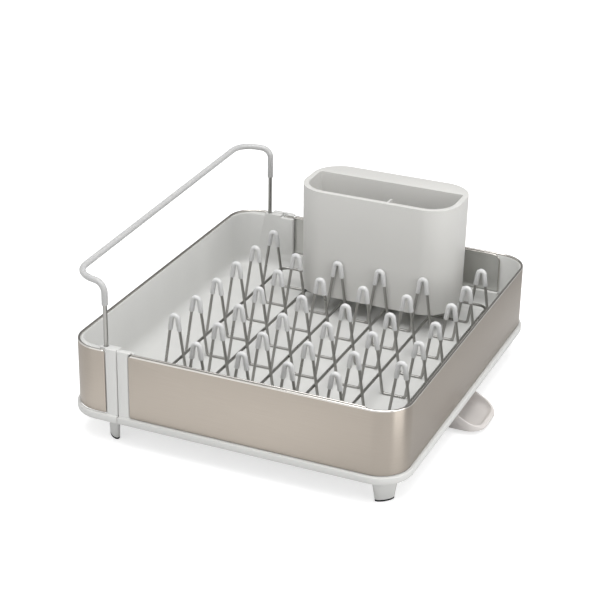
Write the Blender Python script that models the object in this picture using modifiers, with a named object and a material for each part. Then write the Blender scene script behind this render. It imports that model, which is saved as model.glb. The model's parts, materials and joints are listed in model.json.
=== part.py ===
"""Expandable dish drainer: two telescoping trays with steel bands, a wire plate rack with
tipped prongs, a cutlery pot, a glass rail and a pull-out spout.

Metres, +Z up. +X runs along the front to the fixed end with the spout, +Y to the back.
The origin lies on the worktop, under the middle of the closed drainer's bounding box.
"""
import math

import bpy
import bmesh
from mathutils import Matrix, Vector

# Fits
SEAT_GAP = 0.0003           # left between pieces that touch
RUNNING_GAP = 0.0005        # left between pieces that slide past each other
CUT_OVERRUN = 0.002         # how far a cutter passes the face that it opens

# Both trays and their steel bands
CLOSED_WIDTH = 0.3226       # outer face to outer face of the steel, pushed together
TRAY_DEPTH = 0.364          # outer face to outer face, front to back
CORNER_RADIUS = 0.029       # outer face of the steel, seen from above
BAND_THICKNESS = 0.001
BAND_BOTTOM = 0.032         # height of the band's lower edge over the worktop
BAND_HEIGHT = 0.0635
BAND_END_RADIUS = 0.003     # rounding of a band's free ends
CORNER_STEPS = 8            # flats in each rounded corner

# Moulded base rim below the bands
LIP_REACH = 0.0025          # stands proud of the steel
LIP_HEIGHT = 0.0072
LIP_WALL = 0.0034           # thickness of the skirt under the rim
LIP_BEVEL = 0.0012
FLOOR_THICKNESS = 0.0025
FLOOR_BELOW_BAND = 0.0015   # the fixed tray's floor lies under the steel's lower edge
WALL_THICKNESS = 0.0018
WALL_BELOW_BAND = 0.002     # the lining stops this far under the steel edge

# End strips, where the two trays meet
END_SECTION = 0.0516        # from the left face to the joint between the trays
JOINT_GAP = 0.0006
EXTENSION_STRIP = 0.0111    # width seen from the front
MAIN_STRIP = 0.0109
STRIP_RISE = 0.0018         # strips stand over the steel edge
STRIP_BEVEL = 0.0008
HOOK_LENGTH = 0.0075        # lug that reaches over the sliding panel
HOOK_THICKNESS = 0.0012
HOOK_OUT = 0.0020           # how far the lug passes the main strip

# Extension tray
FLOOR_TO_END_WALL = 0.0145  # its floor's far end to the fixed tray's lining, pushed together
FLOOR_END_RADIUS = 0.012
SIDE_WALL = 0.0070          # thickness of its low side walls and of the arms
SIDE_WALL_RISE = 0.0200     # above its floor
ARM_LENGTH = 0.0139         # lining beyond the joint, behind the main strip
ARM_DROP = 0.0015           # arms end below the steel edge
POST_LENGTH = 0.018         # thick part that holds the rail, back from the joint
LINING_INSET = 0.0035       # inner face of its end wall, from the steel's outer face
LINING_RADIUS = 0.020
COVE_RADIUS = 0.012
COVE_STEPS = 4

# Sliding steel panels
PANEL_THICKNESS = 0.0008
PANEL_HEM = 0.0010          # radius of the rolled edge
PANEL_CORNER = 0.007
PANEL_SIDE_GAP = 0.0006     # hem to the main wall
PANEL_LAP = 0.006           # depth held in the side wall
PANEL_END_LAP = 0.0122      # length held behind the arm
PANEL_TO_FLOOR_END = 0.0120

# Wire rack
WIRE_RADIUS = 0.0014
COLUMNS = 6
ROWS = 7
FIRST_COLUMN = 0.0613       # from the left face of the steel
LAST_COLUMN = 0.0353        # from the right face of the steel
RING_FROM_FACE = 0.0390     # outer ring to the steel's front and back faces
PRONG_HEIGHT = 0.0588       # centre of the low runs to the top of the tip's wire
PRONG_SPREAD = 0.0114       # half the width of a prong at its foot
PRONG_TOP_RADIUS = 0.0032
FOOT_BEND_RADIUS = 0.0030
LONG_WIRE_RISE = 0.0160     # long wires over the low runs, centre to centre
RING_OVERHANG = 0.0104      # outer ring past the first and last rows
RING_RADIUS = 0.010
WELD_SINK = 0.0005          # long wires lie this much lower than the ring that they join
TIP_WALL = 0.0007
TIP_LENGTH = 0.0175         # below the top of the tip

# Cutlery pot
POT_HEIGHT = 0.1111
POT_LEFT_GAP = 0.0274       # to the feet of the outer prongs beside it
POT_RIGHT_GAP = 0.0090
POT_BACK_GAP = 0.0106       # to the steel's outer face
POT_CORNER = 0.030
POT_WALL = 0.0055
POT_LEDGE = 0.0245          # width of the rim along the back
POT_DRAFT = 0.0012          # narrower at the foot, each side
POT_RIM_BEVEL = 0.002
POT_FOOT_BEVEL = 0.0016
POT_FLOOR = 0.0025
POT_PRONG_GAP = 0.0016      # from the last inner prongs' wire to the pot's face
POT_DIVIDER_OFFSET = 0.0155
POT_DIVIDER = 0.0018
POT_SLOT_WIDTH = 0.005
POT_SLOT_LENGTH = 0.030
POT_SLOTS = 5

# Glass rail over the left end
RAIL_WIRE_RADIUS = 0.0020
RAIL_SHOULDER = 0.1578      # where the front leg would reach without its bend
RAIL_OUTER_RISE = 0.0022    # the top bar over the leg's shoulder
RAIL_BACK_RISE = 0.0100     # the rail climbs this much from front to back
RAIL_LEG_INSET = 0.0074     # from the steel's outer face, front and back
RAIL_LEG_FROM_JOINT = 0.0139
RAIL_REACH = 0.0322         # top bar out from the legs
RAIL_TOP_CUT = 0.0056       # the top bar's corners, in from the legs
RAIL_LEG_BEND = 0.0098
RAIL_BAR_BEND = 0.0215
RAIL_BEND_STEPS = 4
RAIL_SEAT_DEPTH = 0.041     # length of leg inside the post
RAIL_HOLE_CLEARANCE = 0.0003
RAIL_COAT_WALL = 0.0008
RAIL_COAT_FOOT = 0.0395     # bare leg between the post and the coating

# Spout under the fixed end
SPOUT_WIDTH = 0.054
SPOUT_LENGTH = 0.050
SPOUT_OUT = 0.0230          # past the steel when drawn out
SPOUT_TRAVEL = 0.022
SPOUT_WALL = 0.0018
SPOUT_TOP = 0.0242
SPOUT_BOTTOM = 0.0045
SPOUT_RIM_FALL = 0.034      # length over which its rim falls to the tip
SPOUT_TIP_RADIUS = 0.0165
SPOUT_COVE = 0.006
SPOUT_FLANGE = 0.003
SPOUT_FLANGE_THICKNESS = 0.0017
SPOUT_FLANGE_LENGTH = 0.015
RUNNER_WALL = 0.002
DRAIN_LENGTH = 0.034
DRAIN_WIDTH = 0.010
DRAIN_FROM_WALL = 0.009

# Feet
FOOT_LENGTH = 0.0290        # at the tray
FOOT_WIDTH = 0.0090
SOLE_LENGTH = 0.0187        # at the pad
SOLE_WIDTH = 0.0077
FOOT_SIDES = 20
PAD_THICKNESS = 0.0015
CORNER_FOOT_INSET = 0.0193  # fixed end's feet, in from both steel faces
INNER_FOOT_FROM_JOINT = 0.030
INNER_FOOT_INSET = 0.062
END_FOOT_FROM_JOINT = 0.0142
END_FOOT_INSET = 0.0183
FOOT_TURN = 45              # degrees, so that the outer feet follow the corners

# Heights that follow from the sizes above
BAND_TOP = BAND_BOTTOM + BAND_HEIGHT
STRIP_TOP = BAND_TOP + STRIP_RISE
LINING_TOP = BAND_TOP - WALL_BELOW_BAND
LIP_TOP = BAND_BOTTOM - SEAT_GAP
LIP_BOTTOM = LIP_TOP - LIP_HEIGHT
MAIN_FLOOR_TOP = BAND_BOTTOM - FLOOR_BELOW_BAND
MAIN_FLOOR_UNDER = MAIN_FLOOR_TOP - FLOOR_THICKNESS
RUNNER_UNDER = MAIN_FLOOR_TOP + RUNNING_GAP
EXTENSION_FLOOR_UNDER = RUNNER_UNDER + RUNNING_GAP + RUNNING_GAP
EXTENSION_FLOOR_TOP = EXTENSION_FLOOR_UNDER + FLOOR_THICKNESS
SIDE_WALL_TOP = EXTENSION_FLOOR_TOP + SIDE_WALL_RISE
PANEL_TOP = BAND_TOP - SEAT_GAP
LOW_RUN = EXTENSION_FLOOR_TOP + SEAT_GAP + WIRE_RADIUS
LONG_WIRE = LOW_RUN + LONG_WIRE_RISE
PRONG_TOP = LOW_RUN + PRONG_HEIGHT
POT_BOTTOM = LONG_WIRE + WIRE_RADIUS + SEAT_GAP
POT_TOP = POT_BOTTOM + POT_HEIGHT
FOOT_BOTTOM = PAD_THICKNESS + SEAT_GAP

# Places along X and Y that follow from the sizes above
TRAY_CENTRE = (LIP_REACH - SPOUT_OUT) / 2
LEFT_FACE = TRAY_CENTRE - CLOSED_WIDTH / 2
RIGHT_FACE = TRAY_CENTRE + CLOSED_WIDTH / 2
FACE_Y = TRAY_DEPTH / 2
JOINT_X = LEFT_FACE + END_SECTION
EXTENSION_END = JOINT_X - JOINT_GAP / 2
MAIN_END = JOINT_X + JOINT_GAP / 2
MAIN_BAND_END = MAIN_END + MAIN_STRIP + SEAT_GAP
EXTENSION_BAND_END = EXTENSION_END - EXTENSION_STRIP - SEAT_GAP
WALL_OUT = BAND_THICKNESS + SEAT_GAP
MAIN_WALL_IN = WALL_OUT + WALL_THICKNESS
SIDE_OUT = MAIN_WALL_IN + RUNNING_GAP
SIDE_IN = SIDE_OUT + SIDE_WALL
PANEL_CENTRE_IN = MAIN_WALL_IN + PANEL_SIDE_GAP + PANEL_HEM
REBATE_IN = PANEL_CENTRE_IN + PANEL_HEM + SEAT_GAP
FLOOR_END = RIGHT_FACE - MAIN_WALL_IN - FLOOR_TO_END_WALL
SIDE_WALL_END = FLOOR_END - PANEL_TO_FLOOR_END
ARM_END = JOINT_X + ARM_LENGTH
PANEL_START = ARM_END - PANEL_END_LAP
TIP_INNER_RADIUS = WIRE_RADIUS + SEAT_GAP
TIP_OUTER_RADIUS = TIP_INNER_RADIUS + TIP_WALL
LEG_LEAN = math.atan2(PRONG_SPREAD - PRONG_TOP_RADIUS, PRONG_HEIGHT - PRONG_TOP_RADIUS)
COLUMN_PITCH = (CLOSED_WIDTH - FIRST_COLUMN - LAST_COLUMN) / (COLUMNS - 1)
ROW_PITCH = 2 * (FACE_Y - RING_FROM_FACE - RING_OVERHANG) / (ROWS - 1)
PRONG_REACH = PRONG_SPREAD + WIRE_RADIUS
POT_LEFT = LEFT_FACE + FIRST_COLUMN + PRONG_REACH + POT_LEFT_GAP
POT_RIGHT = RIGHT_FACE - LAST_COLUMN - PRONG_REACH - POT_RIGHT_GAP
POT_WIDTH = POT_RIGHT - POT_LEFT
POT_X = (POT_LEFT + POT_RIGHT) / 2
POT_FRONT = ROW_PITCH * (ROWS - 3) / 2 + WIRE_RADIUS + POT_PRONG_GAP
POT_DEPTH = FACE_Y - POT_BACK_GAP - POT_FRONT
POT_Y = POT_FRONT + POT_DEPTH / 2
RAIL_LEG_X = JOINT_X - RAIL_LEG_FROM_JOINT
RAIL_LEG_Y = FACE_Y - RAIL_LEG_INSET
RAIL_FOOT = STRIP_TOP - RAIL_SEAT_DEPTH
RAIL_COAT_END = STRIP_TOP + RAIL_COAT_FOOT
SPOUT_TIP = RIGHT_FACE + SPOUT_OUT
SPOUT_ROOT = SPOUT_TIP - SPOUT_LENGTH

COLOURS = {
    "steel": ((0.52, 0.46, 0.40), 0.34, 1.0),
    "panel_steel": ((0.46, 0.45, 0.42), 0.30, 1.0),
    "wire": ((0.20, 0.20, 0.19), 0.35, 1.0),
    "tray_plastic": ((0.62, 0.61, 0.57), 0.45, 0.0),
    "pot_plastic": ((0.56, 0.55, 0.52), 0.50, 0.0),
    "coating": ((0.74, 0.74, 0.72), 0.40, 0.0),
    "rubber": ((0.02, 0.02, 0.02), 0.80, 0.0),
}


def start_scene():
    """Empty the scene and make one collection for the parts and one for the cutters."""
    for old in list(bpy.data.objects):
        bpy.data.objects.remove(old)
    for name in ("dish_drainer", "cutters"):
        collection = bpy.data.collections.new(name)
        bpy.context.scene.collection.children.link(collection)


def material(name):
    """The Principled material of one finish, made once."""
    finish = bpy.data.materials.get(name)
    if finish is None:
        colour, roughness, metallic = COLOURS[name]
        finish = bpy.data.materials.new(name)
        finish.use_nodes = True
        shader = finish.node_tree.nodes["Principled BSDF"]
        shader.inputs["Base Color"].default_value = (*colour, 1.0)
        shader.inputs["Roughness"].default_value = roughness
        shader.inputs["Metallic"].default_value = metallic
        finish.diffuse_color = (*colour, 1.0)
    return finish


def add_part(name, data, finish):
    """Link a finished mesh or curve as one named sub-part."""
    part = bpy.data.objects.new(name, data)
    bpy.data.collections["dish_drainer"].objects.link(part)
    if not data.materials:
        data.materials.append(material(finish))
    return part


def add_cutter(name, data):
    """Link a mesh that only cuts or joins another one."""
    cutter = bpy.data.objects.new(name, data)
    bpy.data.collections["cutters"].objects.link(cutter)
    cutter.hide_render = True
    cutter.display_type = "WIRE"
    return cutter


def add_axis(name, place, parent=None):
    """An empty on a sliding joint's axis."""
    axis = bpy.data.objects.new(name, None)
    axis.empty_display_size = CORNER_RADIUS
    bpy.data.collections["dish_drainer"].objects.link(axis)
    hang(axis, place, parent)
    return axis


def hang(thing, place, parent):
    """Put a thing at a place of the whole drainer, under a parent that isn't turned."""
    thing.parent = parent
    under = Vector((0, 0, 0))
    while parent:
        under += parent.location
        parent = parent.parent
    thing.location = Vector(place) - under


def boolean(target, cutter, operation):
    step = target.modifiers.new(cutter.name, "BOOLEAN")
    step.operation = operation
    step.object = cutter
    step.solver = "EXACT"


def join(target, data):
    boolean(target, add_cutter(target.name + "_add", data), "UNION")


def cut(target, data):
    boolean(target, add_cutter(target.name + "_cut", data), "DIFFERENCE")


def mesh_of_curve(curve):
    """The closed mesh that a curve shows."""
    holder = bpy.data.objects.new(curve.name, curve)
    bpy.context.scene.collection.objects.link(holder)
    graph = bpy.context.evaluated_depsgraph_get()
    data = bpy.data.meshes.new_from_object(holder.evaluated_get(graph))
    bpy.data.objects.remove(holder)
    bpy.data.curves.remove(curve)
    shape = bmesh.new()
    shape.from_mesh(data)
    bmesh.ops.remove_doubles(shape, verts=shape.verts, dist=SEAT_GAP / 100)
    bmesh.ops.recalc_face_normals(shape, faces=shape.faces)
    shape.to_mesh(data)
    shape.free()
    data.materials.clear()
    return data


def slab(name, outline, low, high, along="Z"):
    """A filled outline seen along one axis, as thick as from low to high on that axis."""
    curve = bpy.data.curves.new(name, "CURVE")
    curve.dimensions = "2D"
    curve.fill_mode = "BOTH"
    curve.extrude = (high - low) / 2
    spline = curve.splines.new("POLY")
    spline.points.add(len(outline) - 1)
    for point, (x, y) in zip(spline.points, outline):
        point.co = (x, y, 0, 1)
    spline.use_cyclic_u = True
    data = mesh_of_curve(curve)
    for vert in data.vertices:
        first, second = vert.co.x, vert.co.y
        depth = high if vert.co.z > 0 else low
        vert.co = {
            "X": (depth, first, second), "Y": (first, depth, second), "Z": (first, second, depth),
        }[along]
    if along == "Y":
        data.flip_normals()
    return data


def box(name, low, high):
    """A primitive cube stretched from one corner to the other."""
    shape = bmesh.new()
    bmesh.ops.create_cube(shape, size=1.0)
    for vert in shape.verts:
        vert.co = [top if place > 0 else bottom for place, bottom, top in zip(vert.co, low, high)]
    data = bpy.data.meshes.new(name)
    shape.to_mesh(data)
    shape.free()
    return data


def bevel_edges(data, width, steps, chosen):
    """Round the edges of a mesh that the chosen test picks."""
    shape = bmesh.new()
    shape.from_mesh(data)
    bmesh.ops.dissolve_limit(shape, angle_limit=math.radians(1), verts=shape.verts, edges=shape.edges)
    edges = [edge for edge in shape.edges if chosen(edge)]
    bmesh.ops.bevel(shape, geom=edges, offset=width, segments=steps, profile=0.5, affect="EDGES")
    shape.to_mesh(data)
    shape.free()
    return data


def level_edge(height):
    """A test for the edges that lie at one height."""
    near = SEAT_GAP / 10
    return lambda edge: all(abs(vert.co.z - height) < near for vert in edge.verts)


def upright_edge(edge):
    first, second = (vert.co for vert in edge.verts)
    return abs(first.x - second.x) + abs(first.y - second.y) < abs(first.z - second.z) / 10


def arc(centre, radius, start, end, steps):
    """Points on an arc, with angles in degrees."""
    points = []
    for step in range(steps + 1):
        angle = math.radians(start + (end - start) * step / steps)
        points.append((centre[0] + radius * math.cos(angle), centre[1] + radius * math.sin(angle)))
    return points


def rounded_outline(x_low, x_high, y_half, left_radius, right_radius):
    """A rectangle from above whose left and right corners have their own radius."""
    points = []
    corners = (
        (x_high, -1, right_radius, -90), (x_high, 1, right_radius, 0),
        (x_low, 1, left_radius, 90), (x_low, -1, left_radius, 180),
    )
    for x, side, radius, start in corners:
        if radius == 0:
            points.append((x, side * y_half))
            continue
        inward = -1 if x == x_high else 1
        centre = (x + inward * radius, side * (y_half - radius))
        points += arc(centre, radius, start, start + 90, CORNER_STEPS)
    return points


def rounded_path(corners, radii, steps):
    """A path through corner points in space, with each inner corner rounded."""
    points = [Vector(corners[0])]
    for index in range(1, len(corners) - 1):
        corner = Vector(corners[index])
        back = (Vector(corners[index - 1]) - corner).normalized()
        ahead = (Vector(corners[index + 1]) - corner).normalized()
        half = back.angle(ahead) / 2
        radius = radii[index - 1]
        centre = corner + (back + ahead).normalized() * radius / math.sin(half)
        first = corner + back * radius / math.tan(half) - centre
        last = corner + ahead * radius / math.tan(half) - centre
        turn = first.angle(last)
        count = steps[index - 1]
        for step in range(count + 1):
            share = step / count
            blend = first * math.sin((1 - share) * turn) + last * math.sin(share * turn)
            points.append(centre + blend / math.sin(turn))
    points.append(Vector(corners[-1]))
    return points


def tube(name, points, radius, sides_level, cyclic=False):
    """A round wire along points, as a curve with filled ends."""
    curve = bpy.data.curves.new(name, "CURVE")
    curve.dimensions = "3D"
    curve.bevel_depth = radius
    curve.bevel_resolution = sides_level
    curve.use_fill_caps = True
    spline = curve.splines.new("POLY")
    spline.points.add(len(points) - 1)
    for point, place in zip(spline.points, points):
        point.co = (*place, 1)
    spline.use_cyclic_u = cyclic
    return curve


def shade(data):
    data.shade_smooth()
    data.set_sharp_from_angle(angle=math.radians(35))
    return data


def inset_outline(inset, x_low, x_high, left_round, right_round):
    """The trays' outline, moved inward from the steel's outer face."""
    radius = CORNER_RADIUS - inset
    left = radius if left_round else 0
    right = radius if right_round else 0
    return rounded_outline(x_low, x_high, FACE_Y - inset, left, right)


def steel_band(name, end_x, face_x):
    """A U of thin sheet round one end of the drainer, with rounded free ends."""
    side = 1 if face_x > end_x else -1
    straight = face_x - side * CORNER_RADIUS
    stations = []
    for step in range(4):
        angle = math.radians(90 * step / 3)
        along = BAND_END_RADIUS * (1 - math.cos(angle))
        stations.append((end_x + side * along, -FACE_Y, BAND_END_RADIUS * (1 - math.sin(angle))))
    for y_side, start in ((-1, -90), (1, 0)):
        centre = (straight, y_side * (FACE_Y - CORNER_RADIUS))
        for x, y in arc(centre, CORNER_RADIUS, start, start + 90, CORNER_STEPS):
            stations.append((straight + side * (x - straight), y, 0))
    for x, y, drop in reversed(stations[:4]):
        stations.append((x, -y, drop))
    shape = bmesh.new()
    pairs = []
    for x, y, drop in stations:
        low = shape.verts.new((x, y, BAND_BOTTOM + drop))
        pairs.append((low, shape.verts.new((x, y, BAND_TOP - drop))))
    for (low, high), (next_low, next_high) in zip(pairs, pairs[1:]):
        face = [low, next_low, next_high, high]
        shape.faces.new(face if side > 0 else reversed(face))
    data = bpy.data.meshes.new(name)
    shape.to_mesh(data)
    shape.free()
    shade(data)
    band = add_part(name, data, "steel")
    wall = band.modifiers.new("sheet", "SOLIDIFY")
    wall.thickness = BAND_THICKNESS
    wall.offset = -1
    wall.use_even_offset = True
    return band


def oval_block(name, lower, upper, low, high, x, y, turn):
    """An upright block between two ovals, each given as its width and length."""
    shape = bmesh.new()
    bmesh.ops.create_cone(shape, cap_ends=True, segments=FOOT_SIDES, radius1=1.0, radius2=1.0, depth=1.0)
    turned = Matrix.Rotation(math.radians(turn), 3, "Z")
    for vert in shape.verts:
        width, length = upper if vert.co.z > 0 else lower
        height = high if vert.co.z > 0 else low
        vert.co = turned @ Vector((vert.co.x * width / 2, vert.co.y * length / 2, 0))
        vert.co += Vector((x, y, height))
    data = bpy.data.meshes.new(name)
    shape.to_mesh(data)
    shape.free()
    return data


def foot(x, y, turn, top):
    """A tapered oval foot, from its pad up into a tray's floor."""
    sole = (SOLE_WIDTH, SOLE_LENGTH)
    return oval_block("foot", sole, (FOOT_WIDTH, FOOT_LENGTH), FOOT_BOTTOM, top, x, y, turn)


def pad(name, x, y, turn, parent):
    """The rubber sole under one foot."""
    sole = (SOLE_WIDTH, SOLE_LENGTH)
    data = oval_block(name, sole, sole, -PAD_THICKNESS / 2, PAD_THICKNESS / 2, 0, 0, turn)
    part = add_part(name, shade(data), "rubber")
    hang(part, (x, y, PAD_THICKNESS / 2), parent)


def skirted_base(name, x_low, x_high, left_round, right_round):
    """The moulded rim under a band, with its outer edges softened."""
    outline = inset_outline(-LIP_REACH, x_low, x_high, left_round, right_round)
    data = slab(name, outline, LIP_BOTTOM, LIP_TOP)
    rim_edge = level_edge(LIP_BOTTOM)
    top_edge = level_edge(LIP_TOP)
    return bevel_edges(data, LIP_BEVEL, 2, lambda edge: rim_edge(edge) or top_edge(edge))


def strip_block(name, x_low, x_high, side, depth):
    """An end strip, flush with the steel, on the front or the back."""
    outer = side * FACE_Y
    inner = side * (FACE_Y - depth)
    low = (x_low, min(outer, inner), LIP_TOP - LIP_HEIGHT / 2)
    high = (x_high, max(outer, inner), STRIP_TOP)
    return bevel_edges(box(name, low, high), STRIP_BEVEL, 1, upright_edge)


def side_box(name, x_low, x_high, side, near, far, z_low, z_high):
    """A box along the front or back, between two insets from the steel's outer face."""
    ends = sorted((side * (FACE_Y - near), side * (FACE_Y - far)))
    return box(name, (x_low, ends[0], z_low), (x_high, ends[1], z_high))


def main_tray():
    """Fixed tray: floor, lined wall, end strips, skirt, feet and spout runners."""
    tray = add_part("main_tray", skirted_base("main_tray", MAIN_END, RIGHT_FACE + LIP_REACH, False, True),
                    "tray_plastic")
    wall = inset_outline(WALL_OUT, MAIN_END, RIGHT_FACE - WALL_OUT, False, True)
    join(tray, slab("wall", wall, MAIN_FLOOR_UNDER, LINING_TOP))
    for side in (-1, 1):
        join(tray, strip_block("strip", MAIN_END, MAIN_END + MAIN_STRIP, side,
                               MAIN_WALL_IN + 2 * STRIP_BEVEL))
    inside = inset_outline(MAIN_WALL_IN, MAIN_END - CUT_OVERRUN, RIGHT_FACE - MAIN_WALL_IN, False, True)
    cut(tray, slab("inside", inside, MAIN_FLOOR_TOP, STRIP_TOP + CUT_OVERRUN))
    under = inset_outline(
        LIP_WALL - LIP_REACH, MAIN_END + LIP_WALL, RIGHT_FACE - LIP_WALL + LIP_REACH, False, True)
    cut(tray, slab("under", under, LIP_BOTTOM - CUT_OVERRUN, MAIN_FLOOR_UNDER))
    hook_end = MAIN_END + MAIN_STRIP + HOOK_OUT
    hook_low = BAND_TOP + SEAT_GAP
    for side in (-1, 1):
        join(tray, side_box("hook", hook_end - HOOK_LENGTH, hook_end, side, STRIP_BEVEL, REBATE_IN,
                            hook_low, hook_low + HOOK_THICKNESS))
        join(tray, slab("runner", runner_outline(side), SPOUT_ROOT - SPOUT_TRAVEL,
                        SPOUT_ROOT + SPOUT_FLANGE_LENGTH, "X"))
    for x, y, turn in main_feet():
        join(tray, foot(x, y, turn, MAIN_FLOOR_TOP - FLOOR_THICKNESS / 2))
    drain_high = RIGHT_FACE - MAIN_WALL_IN - DRAIN_FROM_WALL
    drain = rounded_outline(drain_high - DRAIN_WIDTH, drain_high, DRAIN_LENGTH / 2,
                            DRAIN_WIDTH / 2 - SEAT_GAP, DRAIN_WIDTH / 2 - SEAT_GAP)
    cut(tray, slab("drain", drain, MAIN_FLOOR_UNDER - CUT_OVERRUN, MAIN_FLOOR_TOP + CUT_OVERRUN))


def runner_outline(side):
    """The angled runner that one of the spout's flanges lies on, from the right end."""
    near = side * (SPOUT_WIDTH / 2 + SEAT_GAP)
    web_near = near + side * (SPOUT_FLANGE + SEAT_GAP)
    far = web_near + side * RUNNER_WALL
    ledge_top = SPOUT_TOP - SPOUT_FLANGE_THICKNESS - SEAT_GAP
    ledge_under = ledge_top - RUNNER_WALL
    web_top = MAIN_FLOOR_UNDER + FLOOR_THICKNESS / 2
    return [(near, ledge_under), (far, ledge_under), (far, web_top), (web_near, web_top),
            (web_near, ledge_top), (near, ledge_top)]


def main_feet():
    """Place and turn of the fixed tray's four feet."""
    corner_x = RIGHT_FACE - CORNER_FOOT_INSET
    corner_y = FACE_Y - CORNER_FOOT_INSET
    inner_x = JOINT_X + INNER_FOOT_FROM_JOINT
    inner_y = FACE_Y - INNER_FOOT_INSET
    return ((corner_x, -corner_y, -FOOT_TURN), (corner_x, corner_y, FOOT_TURN),
            (inner_x, -inner_y, 0), (inner_x, inner_y, 0))


def end_feet():
    """Place and turn of the extension's two feet."""
    x = JOINT_X - END_FOOT_FROM_JOINT
    y = FACE_Y - END_FOOT_INSET
    return (x, -y, FOOT_TURN), (x, y, -FOOT_TURN)


def extension_tray(axis):
    """Sliding tray: end wall, posts and strips, arms, low side walls and a coved floor."""
    tray = add_part("extension_tray",
                    skirted_base("extension_tray", LEFT_FACE - LIP_REACH, EXTENSION_END, True, False),
                    "tray_plastic")
    wall = inset_outline(WALL_OUT, LEFT_FACE + WALL_OUT, EXTENSION_END, True, False)
    join(tray, slab("wall", wall, LIP_TOP - LIP_HEIGHT / 2, LINING_TOP))
    overlap = LIP_WALL / 2
    floor = rounded_outline(EXTENSION_END - overlap, FLOOR_END, FACE_Y - SIDE_OUT - STRIP_BEVEL, 0,
                            FLOOR_END_RADIUS)
    join(tray, slab("floor", floor, EXTENSION_FLOOR_UNDER, SIDE_WALL_TOP - STRIP_BEVEL))
    for side in (-1, 1):
        ends = sorted((side * (FACE_Y - SIDE_OUT), side * (FACE_Y - SIDE_IN - CUT_OVERRUN)))
        join(tray, slab("side", extension_side_outline(), ends[0], ends[1], "Y"))
        join(tray, strip_block("strip", EXTENSION_END - EXTENSION_STRIP, EXTENSION_END, side,
                               SIDE_OUT + 2 * STRIP_BEVEL))
    cavity = slab("inside", extension_cavity_outline(), EXTENSION_FLOOR_TOP, STRIP_TOP + CUT_OVERRUN)
    cut(tray, bevel_edges(cavity, COVE_RADIUS, COVE_STEPS, level_edge(EXTENSION_FLOOR_TOP)))
    under = rounded_outline(LEFT_FACE - LIP_REACH + LIP_WALL, EXTENSION_END - LIP_WALL,
                            FACE_Y + LIP_REACH - LIP_WALL, CORNER_RADIUS - LIP_WALL, 0)
    cut(tray, slab("under", under, LIP_BOTTOM - CUT_OVERRUN, EXTENSION_FLOOR_UNDER))
    hole = (2 * RAIL_WIRE_RADIUS + 2 * RAIL_HOLE_CLEARANCE,) * 2
    for side in (-1, 1):
        cut(tray, side_box("rebate", PANEL_START - SEAT_GAP, FLOOR_END, side, -CUT_OVERRUN, REBATE_IN,
                           SIDE_WALL_TOP - PANEL_LAP, STRIP_TOP + CUT_OVERRUN))
        cut(tray, oval_block("rail_hole", hole, hole, RAIL_FOOT - SEAT_GAP, STRIP_TOP + CUT_OVERRUN,
                             RAIL_LEG_X, side * RAIL_LEG_Y, 0))
    for x, y, turn in end_feet():
        join(tray, foot(x, y, turn, EXTENSION_FLOOR_TOP - FLOOR_THICKNESS / 2))
    tray.parent = axis
    tray.location = -axis.location


def extension_side_outline():
    """Post, arm, low wall and runner of one side, seen from the front."""
    runner_start = EXTENSION_END - LIP_WALL / 2
    end = SIDE_WALL_END + STRIP_BEVEL
    post_top = STRIP_TOP - STRIP_BEVEL
    inner_foot = EXTENSION_FLOOR_TOP - FLOOR_THICKNESS / 2
    return [(EXTENSION_END - POST_LENGTH, inner_foot), (runner_start, inner_foot),
            (runner_start, RUNNER_UNDER), (end, RUNNER_UNDER), (end, SIDE_WALL_TOP),
            (ARM_END, SIDE_WALL_TOP), (ARM_END, BAND_TOP - ARM_DROP),
            (EXTENSION_END, BAND_TOP - ARM_DROP), (EXTENSION_END, post_top),
            (EXTENSION_END - POST_LENGTH, post_top)]


def extension_cavity_outline():
    """The inside from above: rounded at the end wall, wider than the floor past the side walls."""
    inner = FACE_Y - SIDE_IN
    outer = FACE_Y + COVE_RADIUS
    end = FLOOR_END + COVE_RADIUS + CUT_OVERRUN
    left = LEFT_FACE + LINING_INSET
    points = [(SIDE_WALL_END, -inner), (SIDE_WALL_END, -outer), (end, -outer), (end, outer),
              (SIDE_WALL_END, outer), (SIDE_WALL_END, inner)]
    for side, start in ((1, 90), (-1, 180)):
        centre = (left + LINING_RADIUS, side * (inner - LINING_RADIUS))
        points += arc(centre, LINING_RADIUS, start, start + 90, CORNER_STEPS)
    return points


def sliding_panel(name, side, axis):
    """A thin steel panel with a rolled edge, held in the extension's side wall."""
    low = SIDE_WALL_TOP - PANEL_LAP + SEAT_GAP
    hem_top = PANEL_TOP - PANEL_HEM
    hem_end = SIDE_WALL_END - PANEL_HEM
    corner = arc((hem_end - PANEL_CORNER, hem_top - PANEL_CORNER), PANEL_CORNER, 90, 0, CORNER_STEPS)
    outline = [(PANEL_START, low), (hem_end, low)] + corner[::-1] + [(PANEL_START, hem_top)]
    sheet = slab(name, outline, -PANEL_THICKNESS / 2, PANEL_THICKNESS / 2, "Y")
    panel = add_part(name, sheet, "panel_steel")
    path = [(PANEL_START + PANEL_THICKNESS, 0, hem_top)] + [(x, 0, z) for x, z in corner]
    path.append((hem_end, 0, SIDE_WALL_TOP + SEAT_GAP))
    hem = add_cutter(name + "_hem", mesh_of_curve(tube(name + "_hem", path, PANEL_HEM, 1)))
    place = (0, side * (FACE_Y - PANEL_CENTRE_IN), 0)
    hem.location = place
    boolean(panel, hem, "UNION")
    hang(panel, place, axis)


def prong_corner_height():
    """Height at which a prong's two legs would meet in a sharp point."""
    return PRONG_TOP - PRONG_TOP_RADIUS + PRONG_TOP_RADIUS / math.sin(LEG_LEAN)


def leg_offset(height):
    """Half the width of a prong, centre to centre, at a height."""
    return (prong_corner_height() - height) * math.tan(LEG_LEAN)


def column_x(column):
    return LEFT_FACE + FIRST_COLUMN + COLUMN_PITCH * column


def row_y(row):
    return ROW_PITCH * (row - (ROWS - 1) / 2)


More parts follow.
